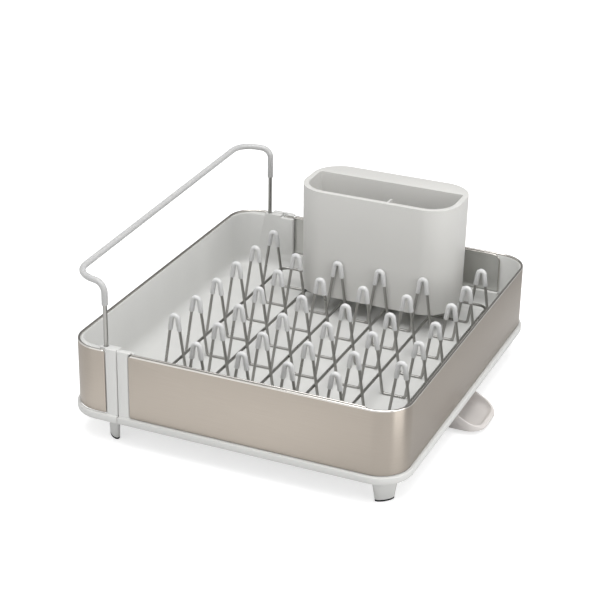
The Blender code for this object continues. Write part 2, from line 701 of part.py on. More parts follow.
def prongs_in_row(row):
    """Columns that carry a prong: the pot takes the middle of the last row."""
    if row == 0:
        return range(1, COLUMNS - 1)
    if row == ROWS - 1:
        return (0, COLUMNS - 1)
    return range(COLUMNS)


def cross_wire(row, axis):
    """One wire bent up into a prong at each column and laid low in between."""
    columns = list(prongs_in_row(row))
    foot_out = leg_offset(LOW_RUN)
    corners = []
    for column in columns:
        x = column_x(column) - column_x(0)
        corners.append((x - foot_out, 0, 0))
        corners.append((x, 0, prong_corner_height() - LOW_RUN))
        corners.append((x + foot_out, 0, 0))
    radii = []
    steps = []
    for index in range(1, len(corners) - 1):
        top = index % 3 == 1
        radii.append(PRONG_TOP_RADIUS if top else FOOT_BEND_RADIUS)
        steps.append(3 if top else 1)
    name = f"cross_wire_{row + 1}"
    wire = add_part(name, tube(name, rounded_path(corners, radii, steps), WIRE_RADIUS, 1), "wire")
    hang(wire, (column_x(0), row_y(row), LOW_RUN), axis)


def long_wire_x(column):
    """The long wires lie inside the prongs, against their right legs."""
    beside = (2 * WIRE_RADIUS + SEAT_GAP) / math.cos(LEG_LEAN)
    return column_x(column) + leg_offset(LONG_WIRE) - beside


def rack_frame(axis):
    """The rack's outer ring with the long wires welded into it."""
    left = long_wire_x(0)
    width = long_wire_x(COLUMNS - 1) - left
    reach = row_y(ROWS - 1) + RING_OVERHANG
    loop = rounded_outline(0, width, reach, RING_RADIUS, RING_RADIUS)
    ring = mesh_of_curve(tube("rack_frame", [(x, y, 0) for x, y in loop], WIRE_RADIUS, 1, cyclic=True))
    frame = add_part("rack_frame", ring, "wire")
    hang(frame, (left, 0, LONG_WIRE), axis)
    weld = reach - WELD_SINK
    for column in range(1, COLUMNS - 1):
        wire = mesh_of_curve(tube("long_wire", [(0, -weld, 0), (0, weld, 0)], WIRE_RADIUS, 1))
        joined = add_cutter("long_wire", wire)
        joined.location = (long_wire_x(column), 0, LONG_WIRE - WELD_SINK)
        boolean(frame, joined, "UNION")


def tip_mesh():
    """A soft tip: a bent sleeve over a prong's top, open at both feet."""
    top = prong_corner_height() - PRONG_TOP
    drop = TIP_LENGTH - TIP_OUTER_RADIUS
    def path(length):
        out = leg_offset(PRONG_TOP - length)
        corners = [(-out, 0, -length), (0, 0, top), (out, 0, -length)]
        return rounded_path(corners, [PRONG_TOP_RADIUS], [3])
    sleeve = bpy.data.objects.new("sleeve", mesh_of_curve(tube("sleeve", path(drop), TIP_OUTER_RADIUS, 1)))
    bore = add_cutter("tip_bore", mesh_of_curve(
        tube("bore", path(drop + CUT_OVERRUN), TIP_INNER_RADIUS, 1)))
    bpy.context.scene.collection.objects.link(sleeve)
    boolean(sleeve, bore, "DIFFERENCE")
    graph = bpy.context.evaluated_depsgraph_get()
    data = bpy.data.meshes.new_from_object(sleeve.evaluated_get(graph))
    bpy.data.objects.remove(sleeve)
    bpy.data.objects.remove(bore)
    data.name = "prong_tip"
    return data


def prong_tips(axis):
    data = tip_mesh()
    for row in range(ROWS):
        for column in prongs_in_row(row):
            letter = "abcdefghijklmnopqrstuvwxyz"[column]
            tip = add_part(f"prong_tip_{row + 1}{letter}", data, "coating")
            hang(tip, (column_x(column), row_y(row), PRONG_TOP), axis)


def pot_outline(inset):
    """The pot from above, centred and moved in all round."""
    half = POT_WIDTH / 2 - inset
    radius = POT_CORNER - inset
    return rounded_outline(-half, half, POT_DEPTH / 2 - inset, radius, radius)


def bore_outline():
    """The pot's inside from above, which ends straight at the ledge, with no sliver beside it."""
    outline = pot_outline(POT_WALL)
    limit = POT_DEPTH / 2 - POT_LEDGE
    kept = []
    for (x, y), (next_x, next_y) in zip(outline, outline[1:] + outline[:1]):
        if y <= limit - POT_RIM_BEVEL:
            kept.append((x, y))
        if (y <= limit) != (next_y <= limit):
            share = (limit - y) / (next_y - y)
            kept.append((x + (next_x - x) * share, limit))
    return kept


def pot_block(name, outline, low, high):
    """A block that narrows towards the pot's foot."""
    data = slab(name, outline, low, high)
    narrow = POT_DRAFT / (POT_WIDTH / 2)
    for vert in data.vertices:
        share = 1 - narrow * (POT_HEIGHT - vert.co.z) / POT_HEIGHT
        vert.co.x *= share
    return data


def cutlery_pot(axis):
    """A drafted pot with a wide back ledge, a sloping divider and a slotted base."""
    block = pot_block("cutlery_pot", pot_outline(0), 0, POT_HEIGHT)
    foot_edge = level_edge(0)
    rim_edge = level_edge(POT_HEIGHT)
    bevel_edges(block, POT_FOOT_BEVEL, 3, foot_edge)
    bevel_edges(block, POT_RIM_BEVEL, 2, rim_edge)
    pot = add_part("cutlery_pot", shade(block), "pot_plastic")
    place = Vector((POT_X, POT_Y, POT_BOTTOM))
    hang(pot, place, axis)
    bore = pot_block("bore", bore_outline(), POT_FLOOR, POT_HEIGHT + CUT_OVERRUN)
    bevel_edges(bore, POT_FOOT_BEVEL, 2, level_edge(POT_FLOOR))
    cavity = add_cutter("pot_bore", bore)
    cavity.location = place
    boolean(pot, cavity, "DIFFERENCE")
    back_half = POT_WIDTH / 2 - POT_CORNER
    hollow = add_cutter("pot_back_hollow", box("hollow", (
        -back_half, POT_DEPTH / 2 - POT_LEDGE + POT_WALL, -CUT_OVERRUN), (
        back_half, POT_DEPTH / 2 - POT_WALL, POT_HEIGHT - POT_WALL)))
    hollow.location = place
    boolean(pot, hollow, "DIFFERENCE")
    front = -POT_DEPTH / 2 + POT_WALL / 2
    back = POT_DEPTH / 2 - POT_LEDGE + POT_WALL / 2
    span = back - front
    top = POT_HEIGHT - SEAT_GAP
    fall_shares = ((0.0, 1.0), (0.24, 1.0), (0.32, 0.96), (0.5, 0.85), (0.75, 0.76), (1.0, 0.74))
    outline = [(front, POT_FLOOR / 2), (back, POT_FLOOR / 2)]
    outline += [(front + span * along, top * rise) for along, rise in reversed(fall_shares)]
    fin = slab("divider", outline, -POT_DIVIDER / 2, POT_DIVIDER / 2, "X")
    divider = add_cutter("pot_divider", fin)
    divider.location = place + Vector((POT_DIVIDER_OFFSET, 0, 0))
    boolean(pot, divider, "UNION")
    spacing = (POT_WIDTH - 2 * POT_CORNER) / (POT_SLOTS - 1)
    slot_back = POT_DEPTH / 2 - POT_LEDGE - 2 * POT_WALL - POT_FOOT_BEVEL
    for index in range(POT_SLOTS):
        x = spacing * (index - (POT_SLOTS - 1) / 2)
        slot = box("slot", (x - POT_SLOT_WIDTH / 2, slot_back - POT_SLOT_LENGTH, -CUT_OVERRUN),
                   (x + POT_SLOT_WIDTH / 2, slot_back, POT_FLOOR + CUT_OVERRUN))
        opening = add_cutter("pot_slot", bevel_edges(slot, POT_SLOT_WIDTH / 3, 2, upright_edge))
        opening.location = place
        boolean(pot, opening, "DIFFERENCE")


def rail_path(foot_height):
    """The rail's centre line: up the front leg, out, along the top bar and down the back leg."""
    top_x = RAIL_LEG_X - RAIL_REACH
    top_y = RAIL_LEG_Y - RAIL_TOP_CUT
    shoulder = RAIL_SHOULDER
    corners = [(RAIL_LEG_X, -RAIL_LEG_Y, foot_height), (RAIL_LEG_X, -RAIL_LEG_Y, shoulder),
               (top_x, -top_y, shoulder + RAIL_OUTER_RISE)]
    shoulder += RAIL_BACK_RISE
    corners += [(top_x, top_y, shoulder + RAIL_OUTER_RISE), (RAIL_LEG_X, RAIL_LEG_Y, shoulder),
                (RAIL_LEG_X, RAIL_LEG_Y, foot_height)]
    radii = [RAIL_LEG_BEND, RAIL_BAR_BEND, RAIL_BAR_BEND, RAIL_LEG_BEND]
    return rounded_path(corners, radii, [RAIL_BEND_STEPS] * len(radii))


def glass_rail(axis):
    """The bent wire and the soft coating over its upper part."""
    wire = add_part("rail_wire", tube("rail_wire", rail_path(RAIL_FOOT), RAIL_WIRE_RADIUS, 2), "wire")
    hang(wire, (0, 0, 0), axis)
    inner = RAIL_WIRE_RADIUS + SEAT_GAP
    sleeve = mesh_of_curve(tube("rail_sleeve", rail_path(RAIL_COAT_END), inner + RAIL_COAT_WALL, 2))
    coat = add_part("rail_sleeve", shade(sleeve), "coating")
    hang(coat, (0, 0, 0), axis)
    bore = mesh_of_curve(tube("rail_bore", rail_path(RAIL_COAT_END - CUT_OVERRUN), inner, 2))
    boolean(coat, add_cutter("rail_bore", bore), "DIFFERENCE")


def spout(axis):
    """A scoop that draws out from under the fixed end, on flanges along its sides."""
    half = SPOUT_WIDTH / 2
    rim_end = SPOUT_BOTTOM + SPOUT_WALL + SEAT_GAP
    profile = [(0, SPOUT_BOTTOM), (SPOUT_LENGTH, SPOUT_BOTTOM), (SPOUT_LENGTH, rim_end),
               (SPOUT_LENGTH - SPOUT_RIM_FALL, SPOUT_TOP), (0, SPOUT_TOP)]
    block = slab("spout", profile, -half, half, "Y")
    body = add_part("spout", shade(block), "tray_plastic")
    plan = rounded_outline(-CUT_OVERRUN, SPOUT_LENGTH, half, 0, SPOUT_TIP_RADIUS)
    inner = rounded_outline(SPOUT_WALL, SPOUT_LENGTH - SPOUT_WALL, half - SPOUT_WALL,
                            0, SPOUT_TIP_RADIUS - SPOUT_WALL)
    floor = SPOUT_BOTTOM + SPOUT_WALL
    trough = bevel_edges(slab("trough", inner, floor, SPOUT_TOP + CUT_OVERRUN), SPOUT_COVE, 3,
                         level_edge(floor))
    steps = [("plan", slab("plan", plan, 0, SPOUT_TOP + CUT_OVERRUN), "INTERSECT"),
             ("trough", trough, "DIFFERENCE")]
    for side in (-1, 1):
        ends = sorted((side * (half - SPOUT_WALL / 2), side * (half + SPOUT_FLANGE)))
        flange = box("flange", (0, ends[0], SPOUT_TOP - SPOUT_FLANGE_THICKNESS),
                     (SPOUT_FLANGE_LENGTH, ends[1], SPOUT_TOP))
        steps.append(("flange", flange, "UNION"))
    place = (SPOUT_ROOT, 0, 0)
    hang(body, place, axis)
    for name, data, operation in steps:
        piece = add_cutter("spout_" + name, data)
        piece.location = place
        boolean(body, piece, operation)


def build():
    start_scene()
    slide = add_axis("extension_slide", (JOINT_X, 0, EXTENSION_FLOOR_UNDER))
    rack = add_axis("rack_lift", (TRAY_CENTRE, 0, EXTENSION_FLOOR_TOP), slide)
    pot_lift = add_axis("pot_lift", (POT_X, POT_Y, POT_BOTTOM), rack)
    rail_lift = add_axis("rail_lift", (RAIL_LEG_X, 0, RAIL_FOOT), slide)
    spout_slide = add_axis("spout_slide", (SPOUT_ROOT, 0, SPOUT_TOP))
    main_tray()
    steel_band("main_band", MAIN_BAND_END, RIGHT_FACE)
    extension_tray(slide)
    end_band = steel_band("extension_band", EXTENSION_BAND_END, LEFT_FACE)
    hang(end_band, (0, 0, 0), slide)
    sliding_panel("front_panel", -1, slide)
    sliding_panel("back_panel", 1, slide)
    rack_frame(rack)
    for row in range(ROWS):
        cross_wire(row, rack)
    prong_tips(rack)
    cutlery_pot(pot_lift)
    glass_rail(rail_lift)
    spout(spout_slide)
    for place, name in zip(main_feet(), ("front_right", "back_right", "front_left", "back_left")):
        pad("main_pad_" + name, *place, None)
    for place, name in zip(end_feet(), ("front", "back")):
        pad("extension_pad_" + name, *place, slide)


build()
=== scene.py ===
"""The looks of an expandable dish drainer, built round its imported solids.

Metres, +Z up. +X runs along the front towards the spout, +Y towards the cutlery pot.
Each piece is drawn, bent, extruded and bevelled with Blender's own modelling tools,
apart from the trays, the spout and the soles, which are softened copies of their solids.
"""

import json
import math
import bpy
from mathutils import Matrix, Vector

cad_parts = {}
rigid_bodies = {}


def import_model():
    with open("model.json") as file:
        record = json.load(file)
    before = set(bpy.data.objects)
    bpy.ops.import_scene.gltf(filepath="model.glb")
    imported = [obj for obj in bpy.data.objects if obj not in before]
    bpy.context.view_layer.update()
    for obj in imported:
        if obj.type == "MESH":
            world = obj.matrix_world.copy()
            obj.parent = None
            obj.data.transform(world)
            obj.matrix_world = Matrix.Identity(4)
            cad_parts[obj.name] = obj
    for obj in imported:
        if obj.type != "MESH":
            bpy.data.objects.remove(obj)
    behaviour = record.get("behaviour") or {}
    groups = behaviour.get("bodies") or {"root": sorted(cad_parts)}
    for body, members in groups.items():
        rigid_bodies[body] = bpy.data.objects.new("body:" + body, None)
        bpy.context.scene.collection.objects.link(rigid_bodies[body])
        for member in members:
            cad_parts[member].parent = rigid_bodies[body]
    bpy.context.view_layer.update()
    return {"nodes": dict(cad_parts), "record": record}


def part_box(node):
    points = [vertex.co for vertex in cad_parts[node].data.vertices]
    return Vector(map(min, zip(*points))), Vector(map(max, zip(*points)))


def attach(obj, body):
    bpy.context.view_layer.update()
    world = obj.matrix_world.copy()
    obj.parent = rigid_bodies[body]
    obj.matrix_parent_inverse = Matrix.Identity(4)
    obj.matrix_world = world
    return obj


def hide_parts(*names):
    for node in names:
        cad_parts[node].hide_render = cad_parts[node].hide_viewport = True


bl_info = {
    "name": "Expandable Dish Drainer",
    "version": (1, 0, 0),
    "blender": (4, 5, 0),
    "location": "View3D > Sidebar > Drainer",
    "description": "Steel bands, trays, wire rack, cutlery pot, glass rail and spout of a dish drainer",
    "category": "Add Mesh",
}

import bpy
from bpy.props import FloatProperty, FloatVectorProperty, IntProperty, PointerProperty
from bpy.types import Operator, Panel, PropertyGroup
from mathutils import Matrix, Vector

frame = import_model()

TINY = 1e-5                 # places nearer to each other than this are the same
FLAT_EDGE = 1               # degrees; less sharp edges of a copied solid are dissolved
SOFT_EDGE = 40              # degrees; sharper edges of a copied solid are rounded
SHARP_EDGE = 60             # degrees; the same for drawn pieces, whose bends are made of flats
SMOOTH_EDGE = 35            # degrees; shading is smooth over edges less sharp than this
FULL_ROW = 2                # a cross wire that has all its prongs


def length(name, description, metres):
    return FloatProperty(name=name, description=description, default=metres, min=0, unit="LENGTH",
                         precision=4)


def count(name, description, number):
    return IntProperty(name=name, description=description, default=number, min=1, max=64)


def colour(name, description, shade):
    return FloatVectorProperty(name=name, description=description, default=shade, min=0, max=1,
                               size=3, subtype="COLOR")


class DrainerSizes(PropertyGroup):
    """Sizes of the pieces that the solids' boxes don't give."""
    corner_radius: length("Corner radius", "Outer face of the steel at the drainer's corners", 0.029)
    band_thickness: length("Band thickness", "Sheet of the steel bands", 0.001)
    band_end_radius: length("Band end radius", "Rounding of a band's free ends", 0.003)
    rim_radius: length("Rim radius", "Rolled upper edge of the steel bands", 0.0013)
    rim_bevel: length("Rim bevel", "Softened edges of the steel sheet and the soles", 0.0003)
    band_gap: length("Band gap", "Dark joint round the steel bands", 0.0005)
    panel_thickness: length("Panel thickness", "Sheet of the sliding panels", 0.0008)
    hem_radius: length("Hem radius", "Rolled edge of the sliding panels", 0.0008)
    panel_corner: length("Panel corner", "Rounding of a sliding panel's free corner", 0.007)
    panel_lap: length("Panel lap", "Depth of a panel in the side wall below it", 0.006)
    mould_bevel: length("Moulded edge", "Softened edges of the moulded trays", 0.0005)
    wire_radius: length("Wire radius", "Wire of the plate rack", 0.0014)
    prong_height: length("Prong height", "Low runs to the top of a prong, centre to centre", 0.0588)
    prong_spread: length("Prong spread", "Half the width of a prong at its foot", 0.0114)
    prong_bend: length("Prong bend", "Bend at the top of a prong", 0.0032)
    foot_bend: length("Foot bend", "Bend between a prong and a low run", 0.003)
    ring_bend: length("Ring bend", "Corners of the rack's outer ring", 0.010)
    tip_radius: length("Tip radius", "Outside of a soft tip's sleeve", 0.0024)
    tip_wall: length("Tip wall", "Wall of a soft tip", 0.0007)
    tip_length: length("Tip length", "Top of a soft tip to its open ends", 0.0175)
    pot_corner: length("Pot corner", "Pot's corners seen from above", 0.030)
    pot_wall: length("Pot wall", "Width of the pot's rim at the front and sides", 0.0055)
    pot_ledge: length("Pot ledge", "Width of the pot's rim at the back", 0.0245)
    pot_floor: length("Pot floor", "Thickness of the pot's base", 0.0025)
    pot_draft: length("Pot draft", "How much narrower the pot's foot is, each side", 0.0012)
    pot_bevel: length("Pot edge", "Rounding of the pot's rim", 0.0022)
    divider: length("Divider", "Thickness of the pot's divider", 0.0018)
    divider_drop: length("Divider drop", "Divider's highest edge under the pot's rim", 0.0003)
    divider_offset: length("Divider offset", "Divider's place, right of the pot's middle", 0.0155)
    slot_width: length("Slot width", "Drain slots in the pot's base", 0.005)
    slot_length: length("Slot length", "Drain slots in the pot's base", 0.030)
    rail_radius: length("Rail radius", "Wire of the glass rail", 0.002)
    coat_radius: length("Coat radius", "Outside of the rail's coating", 0.00295)
    coat_wall: length("Coat wall", "Wall of the rail's coating", 0.0008)
    rail_height: length("Rail height", "Front shoulder over the legs' feet, centre of the wire", 0.1015)
    rail_outer_rise: length("Bar rise", "Top bar over the rail's shoulders", 0.0022)
    rail_back_rise: length("Rail slope", "How much the rail climbs to the back", 0.010)
    rail_cut: length("Bar cut", "Top bar's corners, in from the legs", 0.0056)
    rail_leg_bend: length("Leg bend", "Bend at the rail's shoulders", 0.0098)
    rail_bar_bend: length("Bar bend", "Bend at the top bar's corners", 0.0215)
    slots: count("Slots", "Drain slots in the pot's base", 5)
    wire_sides: count("Wire roundness", "Resolution of a wire's section", 4)
    corner_steps: count("Corner steps", "Flats in a steel corner", 24)
    end_steps: count("End steps", "Flats in the rounding of a band's end", 6)
    panel_steps: count("Panel steps", "Flats in a sliding panel's corner", 10)
    prong_steps: count("Prong steps", "Flats in the bend at the top of a prong", 8)
    foot_steps: count("Foot steps", "Flats in the bend between a prong and a low run", 5)
    ring_steps: count("Ring steps", "Flats in a corner of the rack's outer ring", 8)
    pot_steps: count("Pot steps", "Flats in a corner of the pot", 18)
    divider_steps: count("Divider steps", "Flats in a bend of the divider's top", 5)
    slot_steps: count("Slot steps", "Flats in a corner of a drain slot", 5)
    rail_steps: count("Rail steps", "Flats in a bend of the glass rail", 12)


class DrainerColours(PropertyGroup):
    """Colours of the finishes."""
    steel: colour("Band steel", "Brushed steel of the bands", (0.385, 0.345, 0.302))
    panel: colour("Panel steel", "Brushed steel of the sliding panels", (0.61, 0.61, 0.59))
    edge: colour("Rolled edge", "Polished edges of the bands and panels", (0.58, 0.56, 0.53))
    wire: colour("Wire", "Steel wire of the rack and the rail", (0.34, 0.335, 0.32))
    tray: colour("Tray plastic", "Moulded trays", (0.61, 0.61, 0.595))
    pot: colour("Pot plastic", "Cutlery pot", (0.58, 0.575, 0.555))
    spout: colour("Spout plastic", "Pull-out spout", (0.60, 0.57, 0.55))
    coating: colour("Soft tips", "Sleeves on the prongs", (0.62, 0.62, 0.615))
    rail: colour("Rail coating", "Soft coating on the glass rail", (0.48, 0.48, 0.475))
    rubber: colour("Rubber", "Soles under the feet", (0.008, 0.008, 0.008))


# Modelling steps

def leave_edit():
    bpy.ops.object.mode_set(mode="OBJECT")


def enter_edit():
    bpy.ops.object.mode_set(mode="EDIT")


def select_only(piece):
    """Make one object the only selected one, and the active one."""
    bpy.ops.object.select_all(action="DESELECT")
    piece.select_set(True)
    bpy.context.view_layer.objects.active = piece


def delete(piece):
    select_only(piece)
    bpy.ops.object.delete()


def draw_point(name, place):
    """Start a piece as one vertex, in edit mode and selected."""
    bpy.ops.object.select_all(action="DESELECT")
    bpy.ops.mesh.primitive_plane_add(size=1)
    piece = bpy.context.object
    piece.name = name
    enter_edit()
    bpy.ops.mesh.select_mode(type="VERT")
    bpy.ops.mesh.merge(type="CENTER")
    bpy.ops.transform.translate(value=place)
    return piece


def draw_route(name, corners, radii, steps):
    """A bent line through corner points: straight runs are extruded and bends are spun.

    Each corner between the two ends has a radius and a count of flats, and stays sharp at a
    radius of zero. A spin turns clockwise about its axis, so its angle is negative here.
    """
    corners = [Vector(corner) for corner in corners]
    piece = draw_point(name, corners[0])
    here = corners[0]
    for before, corner, after, radius, flats in zip(corners, corners[1:], corners[2:], radii, steps):
        back = (before - corner).normalized()
        ahead = (after - corner).normalized()
        half = back.angle(ahead) / 2
        first = corner + back * radius / math.tan(half)
        bpy.ops.mesh.extrude_vertices_move(TRANSFORM_OT_translate={"value": first - here})
        here = first
        if radius > 0:
            centre = corner + (back + ahead).normalized() * radius / math.sin(half)
            last = corner + ahead * radius / math.tan(half)
            axis = (first - centre).cross(last - centre)
            bpy.ops.mesh.spin(steps=flats, angle=2 * half - math.pi, center=centre, axis=axis)
            here = last
    bpy.ops.mesh.extrude_vertices_move(TRANSFORM_OT_translate={"value": corners[-1] - here})
    return piece


def draw_outline(name, corners, radii, steps):
    """A flat face inside a closed route, whose last corner is its first."""
    piece = draw_route(name, corners, radii, steps)
    bpy.ops.mesh.select_all(action="SELECT")
    bpy.ops.mesh.remove_doubles(threshold=TINY)
    bpy.ops.mesh.edge_face_add()
    return piece


def extrude(step):
    bpy.ops.mesh.extrude_region_move(TRANSFORM_OT_translate={"value": step})


def pick_vertices(piece, test):
    """Select the vertices whose places pass a test, in edit mode."""
    bpy.ops.mesh.select_mode(type="VERT")
    bpy.ops.mesh.select_all(action="DESELECT")
    leave_edit()
    vertices = piece.data.vertices
    vertices.foreach_set("select", [test(vertex.co) for vertex in vertices])
    enter_edit()


def tidy_mesh():
    """Weld doubles and turn the faces outward, in edit mode, then leave it."""
    bpy.ops.mesh.select_all(action="SELECT")
    bpy.ops.mesh.remove_doubles(threshold=TINY)
    bpy.ops.mesh.normals_make_consistent(inside=False)
    leave_edit()


def smooth(piece, angle=SMOOTH_EDGE):
    select_only(piece)
    bpy.ops.object.shade_smooth_by_angle(angle=math.radians(angle))


def finish_with(piece, kind, **settings):
    """Add one modifier, set it and apply it."""
    select_only(piece)
    bpy.ops.object.modifier_add(type=kind)
    step = piece.modifiers[-1]
    for key, value in settings.items():
        setattr(step, key, value)
    bpy.ops.object.modifier_apply(modifier=step.name)


def soften(piece, width, segments=2, angle=SHARP_EDGE):
    """Round the edges that are sharper than an angle."""
    finish_with(piece, "BEVEL", width=width, segments=segments, limit_method="ANGLE",
                angle_limit=math.radians(angle), miter_outer="MITER_ARC")


def combine(piece, other, operation):
    finish_with(piece, "BOOLEAN", object=other, operation=operation, solver="EXACT")
    delete(other)


def join(piece, *others):
    select_only(piece)
    for other in others:
        other.select_set(True)
    bpy.ops.object.join()


def round_wire(piece, radius, closed_ends=True):
    """Turn a bent line into a round wire."""
    bpy.ops.mesh.select_all(action="SELECT")
    bpy.ops.mesh.remove_doubles(threshold=TINY)
    leave_edit()
    name = piece.name
    bpy.ops.object.convert(target="CURVE")
    wire = bpy.context.object
    wire.data.bevel_depth = radius
    wire.data.bevel_resolution = bpy.context.scene.drainer_sizes.wire_sides
    wire.data.use_fill_caps = closed_ends
    bpy.ops.object.convert(target="MESH")
    wire = bpy.context.object
    wire.name = name
    wire.data.materials.clear()
    enter_edit()
    tidy_mesh()
    return wire


def round_sleeve(piece, radius, wall):
    """Turn a bent line into a hollow sleeve with softened ends."""
    sleeve = round_wire(piece, radius, closed_ends=False)
    finish_with(sleeve, "SOLIDIFY", thickness=wall, offset=-1)
    soften(sleeve, wall / 3)
    smooth(sleeve)
    return sleeve


def copy_to(piece, name, step):
    """A copy of a finished piece with its own mesh, moved by a step."""
    select_only(piece)
    bpy.ops.object.duplicate()
    copied = bpy.context.object
    copied.name = name
    bpy.ops.transform.translate(value=step)
    bpy.ops.object.transform_apply(location=True)
    return copied


def refined_copy(node, name, width):
    """A welded copy of a solid with clean flat faces and softened edges."""
    select_only(frame["nodes"][node])
    bpy.ops.object.duplicate()
    piece = bpy.context.object
    bpy.ops.object.parent_clear(type="CLEAR_KEEP_TRANSFORM")
    for key in list(piece.keys()):
        del piece[key]
    piece.name = name
    enter_edit()
    bpy.ops.mesh.select_all(action="SELECT")
    bpy.ops.mesh.remove_doubles(threshold=TINY)
    bpy.ops.mesh.dissolve_limited(angle_limit=math.radians(FLAT_EDGE))
    leave_edit()
    soften(piece, width, angle=SOFT_EDGE)
    smooth(piece)
    return piece


def dress(piece, material):
    piece.data.materials.clear()
    piece.data.materials.append(material)


def seat(piece, body, node):
    """Hand a finished piece to the body that it moves with, in a solid's place."""
    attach(piece, body)
    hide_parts(node)


# Finishes

BAND_ROUGHNESS = 0.34
PANEL_ROUGHNESS = 0.30
EDGE_ROUGHNESS = 0.13
WIRE_ROUGHNESS = 0.30
TRAY_ROUGHNESS = 0.40
POT_ROUGHNESS = 0.42
SPOUT_ROUGHNESS = 0.36
COATING_ROUGHNESS = 0.34
RUBBER_ROUGHNESS = 0.75
NOISE_SPAN = (0.3, 0.7)                 # where most of a noise's values lie
BRUSH_GRAINS = (22.0, 22.0, 2600.0)     # per metre along each axis: long and level lines
BRUSH_CONTRAST = 0.03
PANEL_CONTRAST = 0.01
BRUSH_DEPTH = 0.0001                    # of the lines, in metres, at a contrast of one
BRUSH_STRETCH = 0.9                     # of the highlights on sheet that goes round the middle
BRUSH_TURN = 0.25                       # of the stretch: a quarter turn from level
WIRE_GRAINS = 60.0                      # per metre
CLOUD_GRAINS = 9.0                      # faint clouding of moulded plastic
SPARK_GRAINS = 2600.0                   # its very fine surface texture
SPARK_DEPTH = 0.000006
COATING_GRAINS = 150.0
RUBBER_GRAINS = 900.0
RUBBER_DEPTH = 0.00002
LIGHT_DEPTH = (0.004, 0.004, 0.0035)    # how far light goes into a soft coating, in metres


def new_finish(name, shade, roughness, metallic=0.0):
    material = bpy.data.materials.new(name)
    material.use_nodes = True
    shader = material.node_tree.nodes["Principled BSDF"]
    shader.inputs["Base Color"].default_value = (*shade, 1.0)
    shader.inputs["Roughness"].default_value = roughness
    shader.inputs["Metallic"].default_value = metallic
    material.diffuse_color = (*shade, 1.0)
    return material


def add_noise(material, grains, detail=2.0):
    """A noise on the piece's own coordinates, with its grains per metre along each axis, or all."""
    nodes = material.node_tree.nodes
    links = material.node_tree.links
    place = nodes.new("ShaderNodeTexCoord")
    mapping = nodes.new("ShaderNodeMapping")
    mapping.inputs["Scale"].default_value = (grains,) * 3 if isinstance(grains, float) else grains
    noise = nodes.new("ShaderNodeTexNoise")
    noise.inputs["Scale"].default_value = 1.0
    noise.inputs["Detail"].default_value = detail
    links.new(place.outputs["Object"], mapping.inputs["Vector"])
    links.new(mapping.outputs["Vector"], noise.inputs["Vector"])
    return noise


def vary_roughness(material, noise, roughness, reach):
    """Smoother and rougher places, a reach below and above a middle value."""
    nodes = material.node_tree.nodes
    spread = nodes.new("ShaderNodeMapRange")
    spread.inputs["From Min"].default_value, spread.inputs["From Max"].default_value = NOISE_SPAN
    spread.inputs["To Min"].default_value = roughness - reach
    spread.inputs["To Max"].default_value = roughness + reach
    material.node_tree.links.new(noise.outputs["Fac"], spread.inputs["Value"])
    material.node_tree.links.new(spread.outputs["Result"], nodes["Principled BSDF"].inputs["Roughness"])


def vary_colour(material, noise, shade, contrast):
    """Lighter and darker versions of one colour, mixed by a noise."""
    nodes = material.node_tree.nodes
    ramp = nodes.new("ShaderNodeValToRGB")
    for stop, position, change in zip(ramp.color_ramp.elements, NOISE_SPAN, (-contrast, contrast)):
        stop.position = position
        stop.color = (*[part * (1 + change) for part in shade], 1.0)
    material.node_tree.links.new(noise.outputs["Fac"], ramp.inputs["Fac"])
    material.node_tree.links.new(ramp.outputs["Color"], nodes["Principled BSDF"].inputs["Base Color"])


def add_relief(material, noise, height):
    """A bump as high as a number of metres."""
    nodes = material.node_tree.nodes
    bump = nodes.new("ShaderNodeBump")
    bump.inputs["Strength"].default_value = 1.0
    bump.inputs["Distance"].default_value = height
    material.node_tree.links.new(noise.outputs["Fac"], bump.inputs["Height"])
    material.node_tree.links.new(bump.outputs["Normal"], nodes["Principled BSDF"].inputs["Normal"])


def brushed_steel(name, shade, roughness, contrast, round_z=False):
    """Sheet brushed along its length, so its lines are long and level.

    Sheet that goes round the piece's middle also stretches its highlights up and down.
    """
    material = bpy.data.materials.get(name)
    if material is None:
        material = new_finish(name, shade, roughness, 1.0)
        if round_z:
            shader = material.node_tree.nodes["Principled BSDF"]
            shader.inputs["Anisotropic"].default_value = BRUSH_STRETCH
            shader.inputs["Anisotropic Rotation"].default_value = BRUSH_TURN
            level = material.node_tree.nodes.new("ShaderNodeTangent")
            level.direction_type = "RADIAL"
            level.axis = "Z"
            material.node_tree.links.new(level.outputs["Tangent"], shader.inputs["Tangent"])
        lines = add_noise(material, BRUSH_GRAINS)
        vary_colour(material, lines, shade, contrast)
        vary_roughness(material, lines, roughness, contrast)
        add_relief(material, lines, contrast * BRUSH_DEPTH)
    return material


def wire_steel(name, shade, roughness=WIRE_ROUGHNESS):
    """Drawn wire or a rolled edge, with a slight unevenness."""
    material = bpy.data.materials.get(name)
    if material is None:
        material = new_finish(name, shade, roughness, 1.0)
        grain = add_noise(material, WIRE_GRAINS)
        vary_colour(material, grain, shade, contrast=0.04)
        vary_roughness(material, grain, roughness, reach=0.03)
    return material


def moulded_plastic(name, shade, roughness):
    """Satin moulded plastic with a very fine spark texture and faint clouding."""
    material = bpy.data.materials.get(name)
    if material is None:
        material = new_finish(name, shade, roughness)
        clouds = add_noise(material, CLOUD_GRAINS)
        vary_colour(material, clouds, shade, contrast=0.012)
        sparks = add_noise(material, SPARK_GRAINS)
        vary_roughness(material, sparks, roughness, reach=0.05)
        add_relief(material, sparks, SPARK_DEPTH)
    return material


